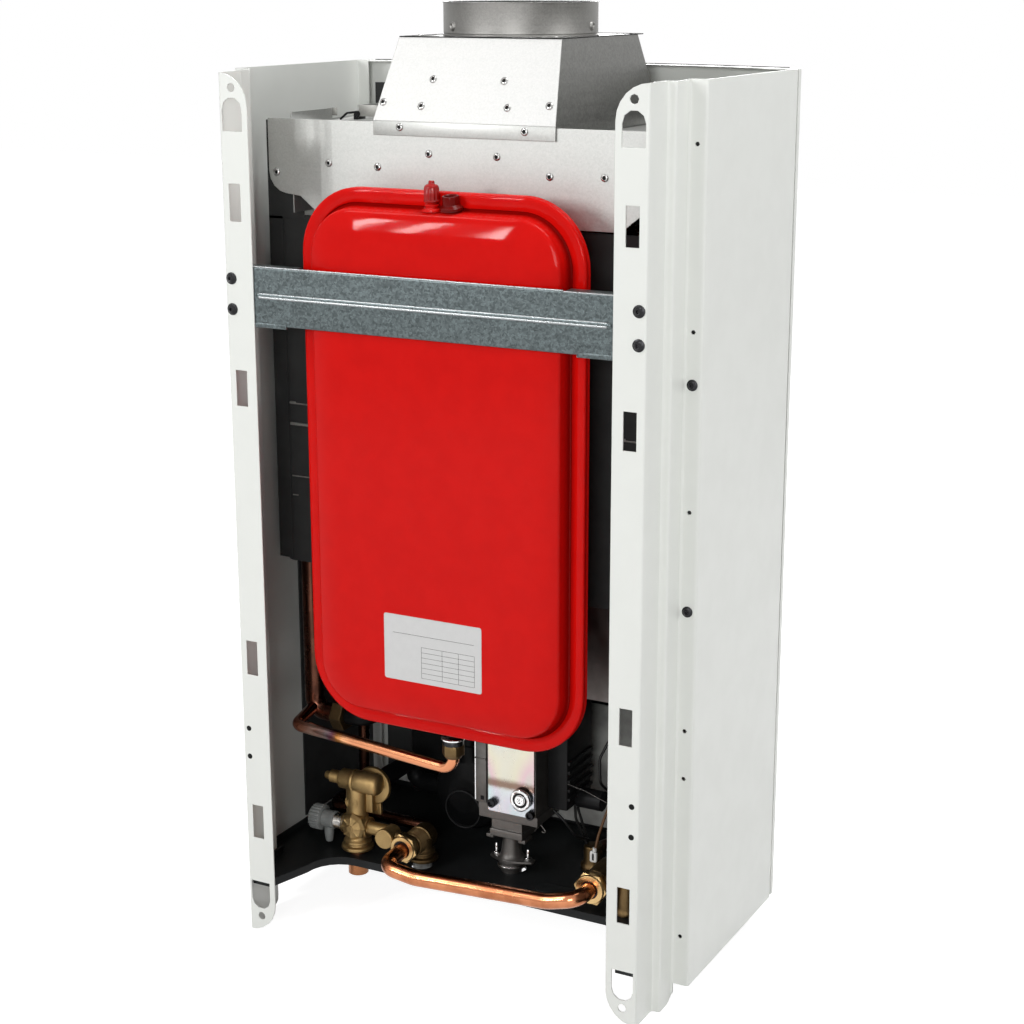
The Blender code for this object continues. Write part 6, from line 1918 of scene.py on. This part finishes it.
@dataclass
class Controls:
    """The control box with its terminal cover, fascia, knobs, gauge and printed ticks."""

    knob_x: tuple = (-0.1, -0.052)
    gauge_x: float = 0.03
    centre_z: float = 0.112
    fascia_y: float = -0.2512
    dial: float = 0.0165
    dial_y: float = -0.25

    def build(self) -> None:
        """Builds the terminal cover and the ticks, and dresses the rest."""
        carried("control_box", BLACK_PLASTIC)
        self.terminal_cover()
        carried("control_fascia", GREY_PLASTIC)
        carried("heating_knob", PALE_PLASTIC, Body.HEATING)
        carried("hot_water_knob", PALE_PLASTIC, Body.HOT_WATER)
        carried("pressure_gauge", PALE_PLASTIC)
        carried("gauge_needle", BLACK_PLASTIC, Body.NEEDLE)
        self.marks()

    def terminal_cover(self) -> None:
        """Builds the bent grey cover over the terminals, with two low round heads on it."""
        outline = [(-0.2006, 0.062), (-0.1992, 0.062), (-0.1992, 0.1284)]
        outline += [(-0.2125, 0.1698), (-0.2139, 0.1694), (-0.2006, 0.128)]
        cover = Shape().plate(outline, Axis.X, -0.137, 0.012, 0.0003)
        for x in (-0.131, 0.006):
            disc = [(0, 0.0012), (0.0022, 0.0008), (0.0026, 0.0), (0, 0.0)]
            cover.turned(disc, (x, -0.1992, 0.12), Axis.Y, steps=20)
        cover.piece("terminal_cover", BOX_GREY)

    def marks(self) -> None:
        """Prints the ticks of the gauge's dial and those round the two knobs."""
        ticks = Shape()
        for index in range(17):
            angle = radians(-135 + 270 * index / 16)
            long = 0.003 if index % 4 == 0 else 0.0016
            self.tick(ticks, (self.gauge_x, self.centre_z), angle, (self.dial - long, self.dial), self.dial_y)
        for x in self.knob_x:
            for index in range(10):
                angle = radians(-135 + 270 * index / 9)
                self.tick(ticks, (x, self.centre_z), angle, (0.0178, 0.0196), self.fascia_y)
        ticks.piece("printed_ticks", INK_AND_PAINTED_SHADE)

    def tick(self, shape: Shape, centre: tuple, angle: float, reach: tuple, y: float) -> None:
        """Adds one printed tick.

        Args:
            shape: The shape to add it to.
            centre: The middle of its dial, across and up.
            angle: Its direction, from straight up.
            reach: Its inner and outer distance from the middle.
            y: The plane it is printed on.
        """
        half = 0.00035
        along = (sin(angle), cos(angle))
        across = (cos(angle) * half, -sin(angle) * half)
        corners = []
        for distance, side in ((reach[0], 1), (reach[1], 1), (reach[1], -1), (reach[0], -1)):
            x = centre[0] + along[0] * distance + across[0] * side
            z = centre[1] + along[1] * distance + across[1] * side
            corners.append((x, z))
        shape.plate(corners, Axis.Y, y - 0.0001, y + 0.0001)


@dataclass
class Studio:
    """The pale floor, the soft lamps, the white surround and the camera."""

    camera_place: Point = (-0.73736, 1.25055, 0.77705)
    camera_aim: Point = (-0.0087, -0.12, 0.3594)
    roll: float = -0.0018
    lens: float = 69.86
    soft_light: float = 0.09
    floor_tone: float = 0.5
    shadow_reach: tuple = (0.45, 1.1)

    def build(self) -> None:
        """Sets up the camera, lamps, world and floor."""
        self.camera()
        self.world()
        self.floor()
        self.lamp("left_strip", (1.246, 1.8, 1.12), (0.046, 0.54), 6.0)
        self.lamp("middle_strip", (1.112, 1.8, 1.12), (0.03, 0.54), 4.1)
        self.lamp("right_strip", (0.928, 1.8, 1.12), (0.056, 0.54), 7.2)
        self.lamp("rear_softbox", (-0.75, 2.25, 0.9), (0.8, 0.8), 24.0)
        self.lamp("high_softbox", (1.2, 1.35, 2.03), (0.6, 0.6), 11.0)
        self.lamp("right_softbox", (-2.1, -0.05, 1.0), (0.9, 0.9), 12.5)
        self.lamp("top_softbox", (-0.6, -0.15, 2.1), (0.8, 0.8), 21.0)
        self.lamp("front_softbox", (0.75, -2.2, 1.25), (1.0, 1.0), 34.0)
        bpy.context.scene.view_settings.view_transform = "Standard"

    def camera(self) -> None:
        """Places the camera, looking at the open back from above and the left."""
        data = bpy.data.cameras.new("camera")
        data.lens = self.lens
        data.sensor_width = 36.0
        data.clip_end = 20.0
        made = bpy.data.objects.new("camera", data)
        place = Vector(self.camera_place)
        look = (Vector(self.camera_aim) - place).to_track_quat("-Z", "Y").to_matrix().to_4x4()
        made.matrix_world = Matrix.Translation(place) @ look @ Matrix.Rotation(self.roll, 4, "Z")
        bpy.context.scene.collection.objects.link(made)
        bpy.context.scene.camera = made

    def lamp(self, name: str, place: Point, size: tuple, power: float) -> None:
        """Adds a rectangular soft lamp that faces the boiler.

        Args:
            name: The lamp's name.
            place: Where it stands.
            size: Its width and height.
            power: Its power in watts.
        """
        data = bpy.data.lights.new(name, "AREA")
        data.shape = "RECTANGLE"
        data.size, data.size_y = size
        data.energy = power
        made = bpy.data.objects.new(name, data)
        aim = Vector((0.0, -0.1, 0.38)) - Vector(place)
        made.matrix_world = Matrix.Translation(place) @ aim.to_track_quat("-Z", "Y").to_matrix().to_4x4()
        bpy.context.scene.collection.objects.link(made)

    def seen(self, graph: Graph) -> bpy.types.NodeSocket:
        """Tells rays from the camera, gloss or glass from the rest.

        Args:
            graph: The tree that asks.

        Returns:
            A socket that is 1 for them and 0 for the rest.
        """
        path = graph.node("LightPath").outputs
        found = graph.math("ADD", path["Is Camera Ray"], path["Is Glossy Ray"])
        return graph.math("MINIMUM", graph.math("ADD", found, path["Is Transmission Ray"]), 1.0)

    def world(self) -> None:
        """Sets a white surround for the camera and for reflections, and a dim one for soft light."""
        world = bpy.data.worlds.new("surround")
        bpy.context.scene.world = world
        world.use_nodes = True
        graph = Graph(world.node_tree)
        seen = self.seen(graph)
        back = world.node_tree.nodes["Background"]
        back.inputs["Color"].default_value = (1.0, 1.0, 1.0, 1.0)
        graph.tree.links.new(graph.spread(seen, self.soft_light, 1.0), back.inputs["Strength"])

    def floor(self) -> None:
        """Adds a plain pale floor just under the boiler."""
        bm = bmesh.new()
        bmesh.ops.create_grid(
            bm, x_segments=1, y_segments=1, size=6.0, matrix=Matrix.Translation((0, 0, -0.0006)),
        )
        mesh = bpy.data.meshes.new("floor")
        bm.to_mesh(mesh)
        bm.free()
        material = bpy.data.materials.new("pale_floor")
        material.use_nodes = True
        graph = Graph(material.node_tree)
        shader = material.node_tree.nodes["Principled BSDF"]
        tone = self.floor_tone
        shader.inputs["Base Color"].default_value = (tone, tone, tone, 1.0)
        shader.inputs["Roughness"].default_value = 0.9
        shader.inputs["Specular IOR Level"].default_value = 0.0
        shader.inputs["Emission Color"].default_value = (1.0, 1.0, 1.0, 1.0)
        reach = graph.node("VectorMath", {0: graph.position()}, operation="LENGTH").outputs["Value"]
        glow = graph.spread(graph.step(reach, *self.shadow_reach), 0.88, 1.0)
        lift = graph.times(self.seen(graph), glow)
        graph.tree.links.new(lift, shader.inputs["Emission Strength"])
        mesh.materials.append(material)
        made = bpy.data.objects.new("floor", mesh)
        bpy.context.scene.collection.objects.link(made)


def main() -> None:
    """Builds every sub-assembly in order."""
    logging.basicConfig(level=logging.INFO, format="%(message)s")
    for assembly in (
        Casing(), HangingBar(), ExpansionVessel(), Hood(), Chamber(), GasTrain(), WaterSide(), Controls(),
    ):
        log.info("building %s", type(assembly).__name__)
        assembly.build()
    Studio().build()


if __name__ == "__main__":
    main()
